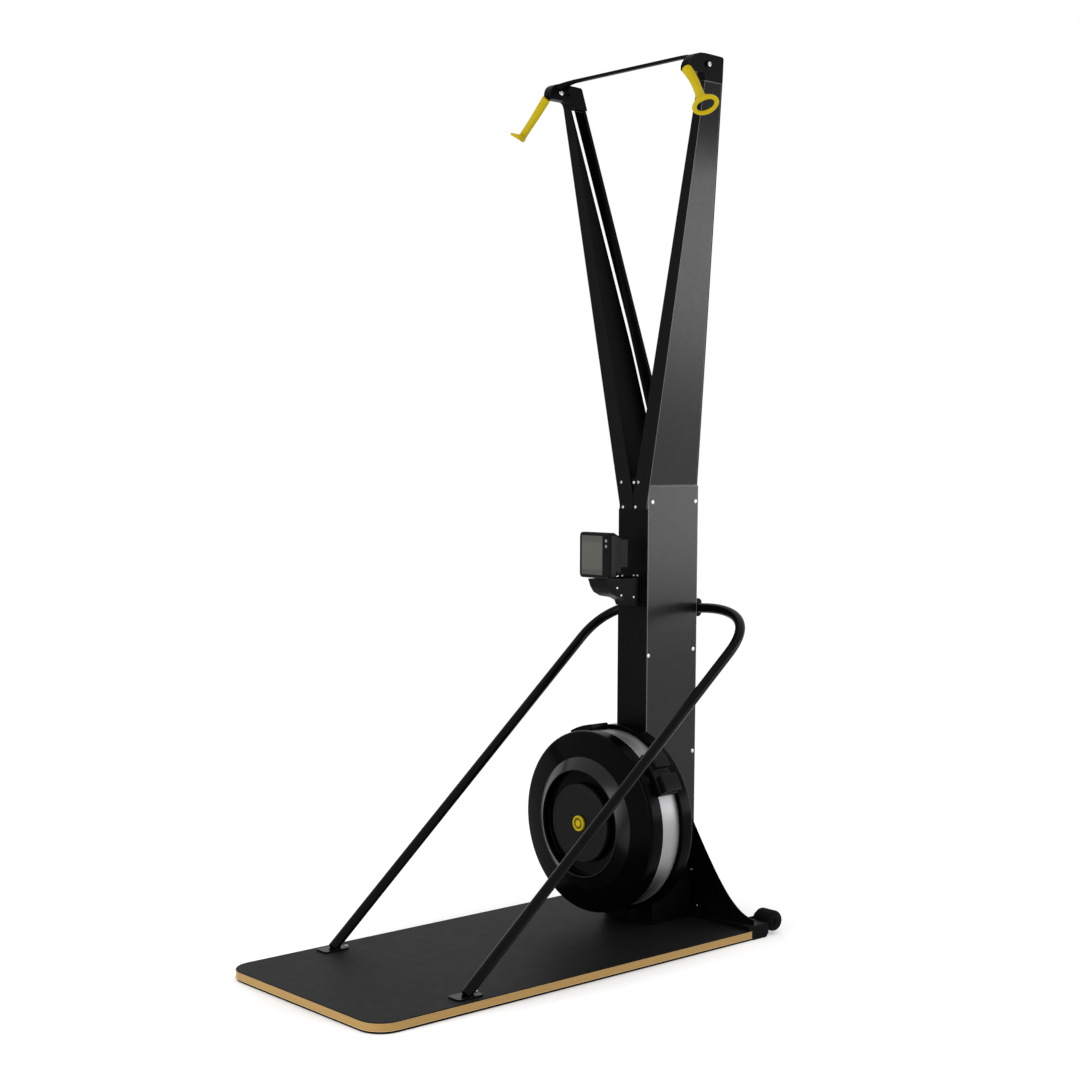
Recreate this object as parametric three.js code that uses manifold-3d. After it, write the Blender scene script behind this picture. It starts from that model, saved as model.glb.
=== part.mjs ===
// Ski ergometer on a floor stand, in millimetres, +Z up.
// The pieces are drawn with Y = 0 at the rear edge of the standing board, and addPiece moves them
// so that the origin lies on the floor, on the middle plane, under the rear floor pad.
// X runs across the machine, -Y is the side where the user stands.

import * as THREE from 'three';
import { mergeVertices } from 'three/addons/utils/BufferGeometryUtils.js';
import Module from 'manifold-3d';

const wasm = await Module();
wasm.setup();

// Shared clearances and cutting allowance
const seat_gap = 0.3;
const running_gap = 0.35;
const overrun = 2;

// Standing board
const board_width = 600;
const board_length = 1200;
const board_core_thickness = 18;
const board_skin_thickness = 2;
const board_skin_inset = 1;
const board_front_corner_radius = 60;
const board_rear_corner_radius = 5;
const foot_height = 6;
const pad_inset = 2;
const pad_width = 45;
const origin_setback = 22;

// Rear foot bar and transport wheels
const bar_rear_y = 60;
const bar_height = 38;
const bar_toe_cut = 9;
const bar_top_cut = 6;
const bar_lip_length = 14;
const bar_wall = 3;
const wheel_radius = 27;
const wheel_width = 64;
const wheel_height = 34;
const wheel_setback = 33;
const wheel_bore_radius = 6;
const wheel_crown = 4;
const wheel_lug_thickness = 5;
const wheel_lug_radius = 14;
const wheel_washer_gap = 1;
const axle_head_radius = 10;
const axle_head_thickness = 3;

// Column
const column_half_width = 53;
const column_front_y = -151;
const column_rear_y = 36;
const column_top_z = 1164;
const panel_thickness = 2;
const cover_thickness = 2.4;
const cover_return = 24;
const spine_wall = 3;
const spine_depth = 96;
const panel_margin = 1.5;

// Base box round the foot of the column
const base_half_width = 90;
const base_front_y = -157;
const base_height = 100;
const base_wall = 3;

// Flared rear gussets
const gusset_y = 14;
const gusset_thickness = 3;
const gusset_tip_height = 11;
const gusset_height = 262;
const gusset_reach = 236;
const gusset_curve_shares = [[0.44, 0.385], [0.69, 0.06]];

// Arms of the V, described by their lines in the front and side views
const arm_top_z = 2140;
const arm_reference_z = 1306;
const arm_outer_x = 88.4;
const arm_outer_slope = 0.1976;
const arm_front_slope = -0.0188;
const arm_rear_y = 5;
const arm_rear_slope = -0.1355;
const arm_flange_width = 50.5;
const arm_flange_taper = 0.0305;
const arm_sheet = 2.5;
const arm_slot = 10.5;
const strip_width = 50;
const strip_taper = 0.036;
const strip_side_low_z = 1521;
const strip_side_slope = 0.0386;
const arm_root_drop = 60;
const arm_centre_gap = 0.8;
const strip_lip = 9;
const root_block_half_width = 44;
const root_block_depth = 30;
const root_block_rise = 20;

// Pulley heads at the arm tops
const head_wall = 3;
const head_lap = 8;
const head_rear_y = -116;
const head_rear_drop = 3;
const head_nose_y = -234;
const head_top_z = 2200;
const head_crest_y = -185;
const head_rear_radius = 7;
const head_nose_drop = 32;
const head_chin_drop = 44;
const head_nose_z = head_top_z - head_nose_drop;
const head_chin_z = head_top_z - head_chin_drop;
const head_throat_y = -181;
const head_pulley_y = -168;
const head_pulley_z = 2176;
const head_pulley_radius = 11.5;
const head_pulley_width = 9;
const head_axle_radius = 4;
const head_bolt_radius = 8;
const head_curve_steps = 6;
const guide_hole_radius = 5;

// Crossbar between the heads
const crossbar_depth = 14;
const crossbar_height = 8;
const crossbar_y = -188;
const crossbar_end_length = 46;
const crossbar_end_depth = 42;
const crossbar_end_height = 13;
const crossbar_rise = 9;
const crossbar_neck_share = 1.2;
const crossbar_neck_rise_share = 0.8;

// Handles
const grip_top = new THREE.Vector3(249, -228, 2153.5);
const right_ring = new THREE.Vector3(327.9, -244.8, 2063.1);
const left_ring = new THREE.Vector3(334.9, -253.3, 2071.4);
const slide_forward_share = 0.45;
const slide_down_share = 0.893;
const grip_long_radius = 12;
const grip_short_radius = 11;
const grip_top_share = 0.72;
const grip_end_share = 0.4;
const ring_long_radius = 36;
const ring_short_radius = 25;
const ring_bar_radius = 5.5;
const right_twist_degrees = 35;
const left_twist_degrees = 175;
const grip_ring_offset = 22;

// Handrail tube
const rail_radius = 13;
const rail_wall = 2;
const rail_foot_x = 259;
const rail_foot_y = -925;
const rail_lean_x = 0.0168;
const rail_lean_y = 1.177;
const rail_bend_z = 746;
const rail_cross_z = 841;
const rail_cross_half_length = 62;
const rail_bend_reach = 176;
const rail_bend_end_reach = 8;
const rail_foot_length = 74;
const rail_foot_width = 44;
const rail_foot_thickness = 4;
const rail_foot_corner = 8;
const clamp_half_width = 38;
const clamp_half_height = 24;
const clamp_depth = 34;
const clamp_edge = 4;

// Flywheel drum, its axis along Y
const drum_radius = 230;
const rim_overhang = 5;
const rear_overhang = 12;
const drum_axis_z = 304.5;
const drum_rear_y = -167;
const drum_band_rear_y = -204;
const drum_band_front_y = -266;
const drum_rim_y = -306;
const drum_shoulder_radius = 169;
const drum_shoulder_y = -317;
const drum_crest_radius = 139;
const drum_crest_y = -336;
const drum_disc_radius = 102;
const drum_disc_y = -333;
const drum_groove_depth = 20;
const drum_wall = 3;
const bevel_ring_thickness = 2;
const band_thickness = 2;
const rim_radius = 8;
const disc_edge_radius = 4;
const disc_floor_gap = 4;
const badge_radius = 20;
const badge_height = 6;
const badge_edge = 1.5;
const drum_segments = 56;

// Fan, shaft, bearings and drive spools
const shaft_radius = 7;
const bearing_radius = 17;
const bearing_width = 9;
const fan_radius = 205;
const fan_blade_inner_radius = 118;
const fan_blade_count = 20;
const fan_blade_thickness = 2;
const fan_disc_thickness = 3;
const fan_hub_radius = 22;
const fan_front_y = -292;
const fan_rear_y = -188;
const spool_radius = 24;
const spool_flange_radius = 31;
const spool_flange_thickness = 3;
const spool_width = 30;
const spool_front_y = -120;
const spool_spacing = 36;
const shaft_front_y = -315.6;
const shaft_rear_y = -42;

// Damper block on the upper right of the drum
const damper_edge_gap = 1;
const damper_base_height = 15;
const damper_block_height = 17;
const damper_low_angle = 23;
const damper_high_angle = 51;
const damper_lever_angle = 11;
const damper_gap_angle = 5;
const damper_block_inset = 5;
const clamp_low_angle = 97;
const clamp_high_angle = 117;
const clamp_height = 17;

// Brackets of the drum
const mount_half_width = 56;
const mount_half_height = 120;
const mount_corner = 12;
const shelf_half_width = 60;
const shelf_thickness = 3;
const shelf_reach = 44;
const shelf_low_z = 40;

// Monitor and its bracket
const monitor_half_width = 58;
const monitor_low_z = 931;
const monitor_high_z = 1047;
const monitor_front_y = -286;
const monitor_depth = 46;
const monitor_corner = 10;
const monitor_edge = 3;
const monitor_straight_depth = 19;
const monitor_back_share = 0.84;
const monitor_boss_half_width = 40;
const monitor_boss_depth = 32;
const monitor_boss_low_z = 958;
const monitor_boss_high_z = 1028;
const screen_left_x = -50;
const screen_right_x = 28;
const screen_margin_z = 8;
const screen_thickness = 1.5;
const screen_recess = 1;
const button_x = 42;
const button_radius = 4;
const button_height = 3;
const button_travel = 1;
const button_first_drop = 20;
const button_spacing = 14;
const button_count = 3;
const bracket_half_width = 34;
const bracket_thickness = 4;
const bracket_plate_half_height = 44;
const bracket_plate_half_width = 46;
const bracket_plate_thickness = 4;
const bracket_plate_z = 897;
const pivot_radius = 4;
const pivot_lug_radius = 9;
const pivot_setback = 5;
const pivot_lift = 5;
const bracket_outline = [
  [-277, 928], [-269, 908], [-258, 893], [-236, 882], [-200, 876], [-183, 868], [-177, 856],
];

const board_top_z = foot_height + board_core_thickness + board_skin_thickness;
const full_turn = 2 * Math.PI;

// Solids: closed meshes with merged corners

function cleanGeometry(source) {
  const bare = source.clone();
  bare.deleteAttribute('normal');
  if (bare.attributes.uv) bare.deleteAttribute('uv');
  const merged = mergeVertices(bare, 1e-4);
  const index = Array.from(merged.index.array);
  const kept = [];
  for (let i = 0; i < index.length; i += 3) {
    const [a, b, c] = [index[i], index[i + 1], index[i + 2]];
    if (a !== b && b !== c && c !== a) kept.push(a, b, c);
  }
  merged.setIndex(kept);
  return merged;
}

function toSolid(source) {
  const merged = cleanGeometry(source);
  return new wasm.Manifold(new wasm.Mesh({
    numProp: 3,
    vertProperties: new Float32Array(merged.attributes.position.array),
    triVerts: new Uint32Array(merged.index.array),
  }));
}

function toGeometry(solid) {
  const mesh = solid.getMesh();
  const geometry = new THREE.BufferGeometry();
  geometry.setAttribute('position', new THREE.BufferAttribute(new Float32Array(mesh.vertProperties), 3));
  geometry.setIndex(Array.from(mesh.triVerts));
  return geometry;
}

function join(...pieces) {
  return pieces.reduce((sum, piece) => sum.add(piece));
}

function cut(body, ...tools) {
  return tools.reduce((rest, tool) => rest.subtract(tool), body);
}

function matrixOf(xAxis, yAxis, zAxis, origin) {
  const matrix = new THREE.Matrix4().makeBasis(xAxis, yAxis, zAxis);
  return matrix.setPosition(origin);
}

const X = new THREE.Vector3(1, 0, 0);
const Y = new THREE.Vector3(0, 1, 0);
const Z = new THREE.Vector3(0, 0, 1);

// A block between two corners
function block(x0, x1, y0, y1, z0, z1) {
  const geometry = new THREE.BoxGeometry(x1 - x0, y1 - y0, z1 - z0);
  geometry.translate((x0 + x1) / 2, (y0 + y1) / 2, (z0 + z1) / 2);
  return toSolid(geometry);
}

// A round bar from one point along a direction
function rod(radius, start, direction, length, sides = 24) {
  const geometry = new THREE.CylinderGeometry(radius, radius, length, sides);
  const turn = new THREE.Quaternion().setFromUnitVectors(Y, direction.clone().normalize());
  geometry.translate(0, length / 2, 0);
  geometry.applyQuaternion(turn);
  geometry.translate(start.x, start.y, start.z);
  return toSolid(geometry);
}

function shapeOf(points) {
  return new THREE.Shape(points.map(([u, v]) => new THREE.Vector2(u, v)));
}

// A rounded rectangle centred on the origin; the radii follow the corners -v left, -v right, +v right, +v left
function roundedShape(halfU, halfV, radii) {
  const [a, b, c, d] = radii;
  const shape = new THREE.Shape();
  shape.moveTo(-halfU + a, -halfV);
  shape.lineTo(halfU - b, -halfV);
  shape.absarc(halfU - b, -halfV + b, b, -Math.PI / 2, 0);
  shape.lineTo(halfU, halfV - c);
  shape.absarc(halfU - c, halfV - c, c, 0, Math.PI / 2);
  shape.lineTo(-halfU + d, halfV);
  shape.absarc(-halfU + d, halfV - d, d, Math.PI / 2, Math.PI);
  shape.lineTo(-halfU, -halfV + a);
  shape.absarc(-halfU + a, -halfV + a, a, Math.PI, 1.5 * Math.PI);
  return shape;
}

function extrude(shape, depth, curveSegments = 6, edge = 0) {
  return new THREE.ExtrudeGeometry(shape, {
    depth: depth - 2 * edge,
    curveSegments,
    bevelEnabled: edge > 0,
    bevelThickness: edge,
    bevelSize: edge,
    bevelOffset: -edge,
    bevelSegments: 2,
  }).translate(0, 0, edge);
}

// A plate whose outline lies in the horizontal plane
function plateXY(shape, z, thickness, curveSegments, edge) {
  return toSolid(extrude(shape, thickness, curveSegments, edge).translate(0, 0, z));
}

// A plate whose outline is drawn in X and Z and that is thick along Y, from y to y + thickness
function plateXZ(shape, y, thickness, curveSegments, edge) {
  const geometry = extrude(shape, thickness, curveSegments, edge);
  geometry.applyMatrix4(matrixOf(X, Z, Y.clone().negate(), new THREE.Vector3(0, y + thickness, 0)));
  return toSolid(geometry);
}

// A plate whose outline is drawn in Y and Z and that is thick along X, from x to x + thickness
function plateYZ(shape, x, thickness, curveSegments, edge) {
  const geometry = extrude(shape, thickness, curveSegments, edge);
  geometry.applyMatrix4(matrixOf(Y, Z, X, new THREE.Vector3(x, 0, 0)));
  return toSolid(geometry);
}

// A turned piece about the drum axis: the profile is a closed loop of [radius, y]
function turned(profile, axisZ = drum_axis_z, segments = drum_segments) {
  const points = profile.map(([r, y]) => new THREE.Vector2(r, y));
  if (profile[0][0] > 0) points.push(points[0].clone());
  const geometry = new THREE.LatheGeometry(points, segments);
  geometry.translate(0, 0, axisZ);
  const solid = toSolid(geometry);
  return solid;
}

function mirrored(solid) {
  const geometry = toGeometry(solid);
  const position = geometry.attributes.position;
  for (let i = 0; i < position.count; i += 1) position.setX(i, -position.getX(i));
  const index = geometry.index.array;
  for (let i = 0; i < index.length; i += 3) {
    const swap = index[i + 1];
    index[i + 1] = index[i + 2];
    index[i + 2] = swap;
  }
  return toSolid(geometry);
}

// Moves every corner by a rule
function reshaped(solid, rule) {
  const geometry = toGeometry(solid);
  const position = geometry.attributes.position;
  const point = new THREE.Vector3();
  for (let i = 0; i < position.count; i += 1) {
    point.fromBufferAttribute(position, i);
    rule(point);
    position.setXYZ(i, point.x, point.y, point.z);
  }
  return toSolid(geometry);
}

// A skin between rings with the same number of points, closed at both ends
function lofted(rings) {
  const count = rings[0].length;
  const vertices = rings.flat().flatMap((p) => [p.x, p.y, p.z]);
  const index = [];
  for (let r = 0; r < rings.length - 1; r += 1) {
    for (let i = 0; i < count; i += 1) {
      const a = r * count + i;
      const b = r * count + ((i + 1) % count);
      index.push(a, b, b + count, a, b + count, a + count);
    }
  }
  const last = (rings.length - 1) * count;
  for (let i = 1; i < count - 1; i += 1) {
    index.push(0, i + 1, i);
    index.push(last, last + i, last + i + 1);
  }
  const geometry = new THREE.BufferGeometry();
  geometry.setAttribute('position', new THREE.BufferAttribute(new Float32Array(vertices), 3));
  geometry.setIndex(index);
  return toSolid(geometry);
}

// Base: board, feet, rear bar, wheels, gussets and base box

function boardOutline(inset) {
  const front = board_front_corner_radius - inset;
  const rear = board_rear_corner_radius - inset;
  return roundedShape(board_width / 2 - inset, board_length / 2 - inset, [front, front, rear, rear]);
}

function boardCore() {
  const solid = plateXY(boardOutline(0), foot_height, board_core_thickness, 8);
  return solid.translate([0, -board_length / 2, 0]);
}

function boardSkin() {
  const z = foot_height + board_core_thickness;
  const solid = plateXY(boardOutline(board_skin_inset), z, board_skin_thickness, 8);
  return solid.translate([0, -board_length / 2, 0]);
}

// The four rubber strips under the edge of the board
function floorPads() {
  const plate = plateXY(boardOutline(pad_inset), 0, foot_height, 8).translate([0, -board_length / 2, 0]);
  const half = board_width / 2;
  const part = (x0, x1, y0, y1) => plate.intersect(block(x0, x1, y0, y1, -overrun, foot_height + overrun));
  return {
    front: part(-half, half, -board_length, -board_length + pad_width),
    rear: part(-half, half, -pad_width, 0),
    left: part(-half, -half + pad_width, -board_length + pad_width, -pad_width),
    right: part(half - pad_width, half, -board_length + pad_width, -pad_width),
  };
}

function wheelCentre(side) {
  const x = side * (board_width / 2 - wheel_width / 2);
  return new THREE.Vector3(x, bar_rear_y + wheel_setback, wheel_height);
}

function rearFoot() {
  const half = board_width / 2;
  const outer = shapeOf([
    [seat_gap, 0], [bar_rear_y - bar_toe_cut, 0], [bar_rear_y, bar_toe_cut],
    [bar_rear_y, bar_height - bar_top_cut], [bar_rear_y - bar_top_cut, bar_height],
    [-bar_lip_length, bar_height], [-bar_lip_length, board_top_z + seat_gap], [seat_gap, board_top_z + seat_gap],
  ]);
  const inner = shapeOf([
    [seat_gap + bar_wall, -overrun], [bar_rear_y - bar_wall - bar_toe_cut, -overrun],
    [bar_rear_y - bar_wall - bar_toe_cut, 0], [bar_rear_y - bar_wall, bar_toe_cut],
    [bar_rear_y - bar_wall, bar_height - bar_top_cut - bar_wall],
    [bar_rear_y - bar_top_cut - bar_wall, bar_height - bar_wall], [seat_gap + bar_wall, bar_height - bar_wall],
  ]);
  const shell = cut(
    plateYZ(outer, -half, board_width),
    plateYZ(inner, -half + bar_wall, board_width - 2 * bar_wall),
  );
  const lugs = [-1, 1].flatMap((side) => {
    const centre = wheelCentre(side);
    const inside = centre.x - side * (wheel_width / 2 + wheel_washer_gap + wheel_lug_thickness / 2);
    const x0 = inside - wheel_lug_thickness / 2;
    const x1 = inside + wheel_lug_thickness / 2;
    const arm = block(x0, x1, bar_rear_y - bar_wall, centre.y, centre.z - wheel_lug_radius, bar_height);
    const eye = rod(wheel_lug_radius, new THREE.Vector3(x0, centre.y, centre.z), X, wheel_lug_thickness);
    return [arm, eye];
  });
  const bores = [-1, 1].map((side) => {
    const centre = wheelCentre(side);
    const start = new THREE.Vector3(-half, centre.y, centre.z);
    if (side > 0) start.x = 0;
    return rod(wheel_bore_radius + seat_gap, start, X, half);
  });
  return cut(join(shell, ...lugs), ...bores);
}

function wheelAxle(side) {
  const centre = wheelCentre(side);
  const outward = new THREE.Vector3(side, 0, 0);
  const inner = centre.clone();
  inner.x -= side * (wheel_width / 2 + wheel_washer_gap + wheel_lug_thickness + overrun);
  const outerX = centre.x + side * (wheel_width / 2 + running_gap);
  const pin = rod(wheel_bore_radius - seat_gap, inner, outward, Math.abs(outerX - inner.x) + axle_head_thickness / 2, 20);
  const head = rod(axle_head_radius, new THREE.Vector3(outerX, centre.y, centre.z), outward, axle_head_thickness, 20);
  return join(pin, head);
}

function transportWheel(side) {
  const centre = wheelCentre(side);
  const half = wheel_width / 2;
  const bore = wheel_bore_radius + running_gap;
  const profile = [
    [bore, -half], [wheel_radius - 2 * wheel_crown, -half], [wheel_radius, -half + 2 * wheel_crown],
    [wheel_radius, half - 2 * wheel_crown], [wheel_radius - 2 * wheel_crown, half], [bore, half], [bore, -half],
  ].map(([r, y]) => new THREE.Vector2(r, y));
  const geometry = new THREE.LatheGeometry(profile, 32);
  geometry.applyMatrix4(matrixOf(Y, X, Z.clone().negate(), centre));
  return toSolid(geometry);
}

function gusset() {
  const x0 = column_half_width + seat_gap;
  const z0 = bar_height;
  const [first, second] = gusset_curve_shares;
  const shape = new THREE.Shape();
  shape.moveTo(x0, z0);
  shape.lineTo(x0 + gusset_reach, z0);
  shape.lineTo(x0 + gusset_reach, z0 + gusset_tip_height);
  shape.bezierCurveTo(
    x0 + gusset_reach * second[0], z0 + gusset_height * second[1],
    x0 + gusset_reach * first[0], z0 + gusset_height * first[1],
    x0, z0 + gusset_height,
  );
  return plateXZ(shape, gusset_y, gusset_thickness, 20);
}

function baseBox() {
  const z0 = board_top_z + seat_gap;
  const z1 = z0 + base_height;
  const rear = -bar_lip_length - seat_gap;
  const outer = block(-base_half_width, base_half_width, base_front_y, rear, z0, z1);
  const inner = block(
    -base_half_width + base_wall, base_half_width - base_wall,
    base_front_y + base_wall, rear + overrun, z0 + base_wall, z1 + overrun,
  );
  return cut(outer, inner);
}

// Column: spine, front cover and two side panels

function columnSpine() {
  const half = column_half_width - panel_thickness - seat_gap;
  const front = column_rear_y - spine_depth;
  const outer = block(-half, half, front, column_rear_y, bar_height, column_top_z);
  const inner = block(
    -half + spine_wall, half - spine_wall, front - overrun, column_rear_y - spine_wall,
    bar_height - overrun, column_top_z + overrun,
  );
  return cut(outer, inner);
}

function columnCover() {
  const z0 = bar_height;
  const z1 = column_top_z;
  const inside = column_half_width - panel_thickness - seat_gap;
  const front = block(
    -column_half_width, column_half_width, column_front_y, column_front_y + cover_thickness, z0, z1,
  );
  const sides = [-1, 1].map((side) => {
    const a = side * inside;
    const b = side * (inside - cover_thickness);
    return block(Math.min(a, b), Math.max(a, b), column_front_y, column_front_y + cover_return, z0, z1);
  });
  const bore = rod(bearing_radius + seat_gap, new THREE.Vector3(0, column_front_y - overrun, drum_axis_z), Y,
    cover_thickness + 2 * overrun);
  const arms = block(
    -board_width, board_width, column_front_y - overrun, column_front_y + arm_sheet + seat_gap,
    armLowZ - seat_gap, z1 + overrun,
  );
  return cut(join(front, ...sides), bore, arms);
}

function sidePanel() {
  const y0 = column_front_y + cover_thickness + seat_gap;
  const y1 = column_rear_y - seat_gap;
  return block(column_half_width - panel_thickness, column_half_width, y0, y1, bar_height, column_top_z);
}

// Arms

const armLowZ = column_top_z - arm_root_drop;
const armOuterX = (z) => arm_outer_x + arm_outer_slope * (z - arm_reference_z);
const armFrontY = (z) => column_front_y + arm_front_slope * (z - armLowZ);
const armRearY = (z) => arm_rear_y + arm_rear_slope * (z - arm_reference_z);
const armWidth = (z) => arm_flange_width - arm_flange_taper * (z - arm_reference_z);
const stripWidth = (z) => strip_width - strip_taper * (z - arm_reference_z);
const stripSide = (z) => strip_side_slope * (z - strip_side_low_z);

function leaning(solid) {
  return reshaped(solid, (p) => { p.x += armOuterX(p.z); });
}

// Only the left arm has the long slot in its outer web; the right web reaches the rear strip
function armChannel(slotted) {
  const low = armLowZ;
  const meet = arm_reference_z - (arm_outer_x - arm_flange_width) / (arm_outer_slope + arm_flange_taper);
  const narrow = column_half_width - panel_thickness - seat_gap;
  const flangeShape = shapeOf([
    [narrow - armOuterX(low), low],
    [0, arm_reference_z + (narrow - arm_outer_x) / arm_outer_slope],
    [0, arm_top_z],
    [-armWidth(arm_top_z), arm_top_z],
    [arm_centre_gap - armOuterX(meet), meet],
    [arm_centre_gap - armOuterX(low), low],
  ]);
  const flange = reshaped(plateXZ(flangeShape, 0, arm_sheet), (p) => { p.y += armFrontY(p.z); });
  const webLow = column_top_z + seat_gap;
  const seam = arm_sheet + seat_gap;
  const webRear = slotted ? [
    [armRearY(webLow) - arm_slot, webLow],
    [armRearY(strip_side_low_z) - arm_slot, strip_side_low_z],
    [armRearY(arm_top_z) - arm_slot - stripSide(arm_top_z), arm_top_z],
  ] : [[armRearY(webLow) - seam, webLow], [armRearY(arm_top_z) - seam, arm_top_z]];
  const webShape = shapeOf([[armFrontY(webLow), webLow], ...webRear, [armFrontY(arm_top_z), arm_top_z]]);
  const web = plateYZ(webShape, -arm_sheet, arm_sheet);
  return leaning(join(flange, web));
}

// The block that both arm roots are screwed to, in the top of the column
function rootBlock() {
  const y0 = column_front_y + arm_sheet + seat_gap;
  return block(
    -root_block_half_width, root_block_half_width, y0, y0 + root_block_depth,
    armLowZ, column_top_z + root_block_rise,
  );
}

function armStrip(slotted) {
  const low = column_top_z + seat_gap;
  const shape = shapeOf([
    [0, low], [0, arm_top_z], [-stripWidth(arm_top_z), arm_top_z], [-stripWidth(low), low],
  ]);
  const plate = plateXZ(shape, -arm_sheet, arm_sheet);
  const lipShape = shapeOf([
    [-stripWidth(low), low], [-stripWidth(low) + arm_sheet, low],
    [-stripWidth(arm_top_z) + arm_sheet, arm_top_z], [-stripWidth(arm_top_z), arm_top_z],
  ]);
  const lip = plateXZ(lipShape, -strip_lip, strip_lip);
  const sideShape = shapeOf([
    [0, strip_side_low_z], [0, arm_top_z], [-stripSide(arm_top_z), arm_top_z],
  ]);
  const sides = slotted ? [plateYZ(sideShape, -arm_sheet, arm_sheet)] : [];
  const flat = join(plate, lip, ...sides);
  return leaning(reshaped(flat, (p) => { p.y += armRearY(p.z); }));
}

// Heads

function headOutline(inset) {
  const low = arm_top_z + seat_gap;
  const start = inset > 0 ? low - overrun - inset : low;
  const front = armFrontY(arm_top_z) + inset;
  const top = head_top_z - inset;
  const rear = head_rear_y - inset;
  const rearTop = top - head_rear_drop;
  const nose = head_nose_y + inset;
  const chin = head_chin_z + inset;
  const shape = new THREE.Shape();
  shape.moveTo(armRearY(start) - inset, start);
  shape.lineTo(rear, rearTop - head_rear_radius);
  shape.quadraticCurveTo(rear, rearTop, rear - head_rear_radius, rearTop + head_wall / 2);
  shape.quadraticCurveTo((rear - head_rear_radius + head_crest_y) / 2, top, head_crest_y, top);
  shape.quadraticCurveTo(nose + head_rear_radius, top, nose, head_nose_z);
  shape.quadraticCurveTo(nose, chin, nose + head_rear_radius, chin);
  shape.lineTo(head_throat_y - head_wall, chin);
  shape.quadraticCurveTo(front, chin, front, low);
  shape.lineTo(front, start);
  return shape;
}

function headShell() {
  const width = armWidth(arm_top_z);
  const outer = plateYZ(headOutline(0), -width, width, head_curve_steps);
  const inner = plateYZ(headOutline(head_wall), head_wall - width, width - 2 * head_wall, head_curve_steps);
  const shell = leaning(cut(outer, inner));
  const axle = headAxleStart();
  const bore = rod(head_axle_radius + seat_gap, axle.clone().sub(X.clone().multiplyScalar(width)), X, 3 * width, 16);
  const slide = handleSlide();
  const top = grip_top.clone().addScaledVector(slide, -head_wall * 4);
  const guide = rod(guide_hole_radius, top, slide, head_wall * 8, 16);
  return cut(shell, bore, guide);
}

function headAxleStart() {
  return new THREE.Vector3(armOuterX(head_pulley_z) - armWidth(arm_top_z), head_pulley_y, head_pulley_z);
}

// The handle leaves the head down and towards the user
function handleSlide() {
  return new THREE.Vector3(0, -slide_forward_share, -slide_down_share).normalize();
}

function headAxle() {
  const middle = armOuterX(head_pulley_z) - armWidth(arm_top_z) / 2;
  const half = armWidth(arm_top_z) / 2 + head_wall * 2;
  const start = new THREE.Vector3(middle - half, head_pulley_y, head_pulley_z);
  const pin = rod(head_axle_radius, start, X, 2 * half, 16);
  const outer = armOuterX(head_pulley_z + axle_head_radius) + seat_gap;
  const head = rod(head_bolt_radius, new THREE.Vector3(outer, head_pulley_y, head_pulley_z), X,
    axle_head_thickness, 6);
  return join(pin, head);
}

function headPulley() {
  const middle = armOuterX(head_pulley_z) - armWidth(arm_top_z) / 2;
  const half = head_pulley_width / 2;
  const bore = head_axle_radius + running_gap;
  const profile = [
    [bore, -half], [head_pulley_radius + half, -half], [head_pulley_radius + half, -half + half / 4],
    [head_pulley_radius, 0],
    [head_pulley_radius + half, half - half / 4], [head_pulley_radius + half, half], [bore, half], [bore, -half],
  ].map(([r, y]) => new THREE.Vector2(r, y));
  const geometry = new THREE.LatheGeometry(profile, 28);
  geometry.applyMatrix4(matrixOf(Y, X, Z.clone().negate(), new THREE.Vector3(middle, head_pulley_y, head_pulley_z)));
  return toSolid(geometry);
}

// The crossbar is a flat bar that widens towards both heads
function crossbar() {
  const z = head_top_z - crossbar_end_height / 2 - head_wall;
  const end = armOuterX(z) - armWidth(arm_top_z) - seat_gap;
  const ring = (x, depth, height, drop) => {
    const shape = roundedShape(depth / 2, height / 2, [height / 3, height / 3, height / 3, height / 3]);
    const lean = Math.abs(x) === end ? Math.sign(x) * arm_outer_slope : 0;
    return shape.getPoints(3).slice(0, -1).map(
      (p) => new THREE.Vector3(x + lean * p.y, crossbar_y + p.x, z - drop + p.y),
    );
  };
  const neck = end - crossbar_end_length / 2;
  const neckRise = -crossbar_rise * crossbar_neck_rise_share;
  const rings = [
    ring(-end, crossbar_end_depth, crossbar_end_height, 0),
    ring(-neck, crossbar_depth * crossbar_neck_share, crossbar_height * crossbar_neck_share, neckRise),
    ring(-end + crossbar_end_length, crossbar_depth, crossbar_height, -crossbar_rise),
    ring(end - crossbar_end_length, crossbar_depth, crossbar_height, -crossbar_rise),
    ring(neck, crossbar_depth * crossbar_neck_share, crossbar_height * crossbar_neck_share, neckRise),
    ring(end, crossbar_end_depth, crossbar_end_height, 0),
  ];
  return lofted(rings);
}

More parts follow.
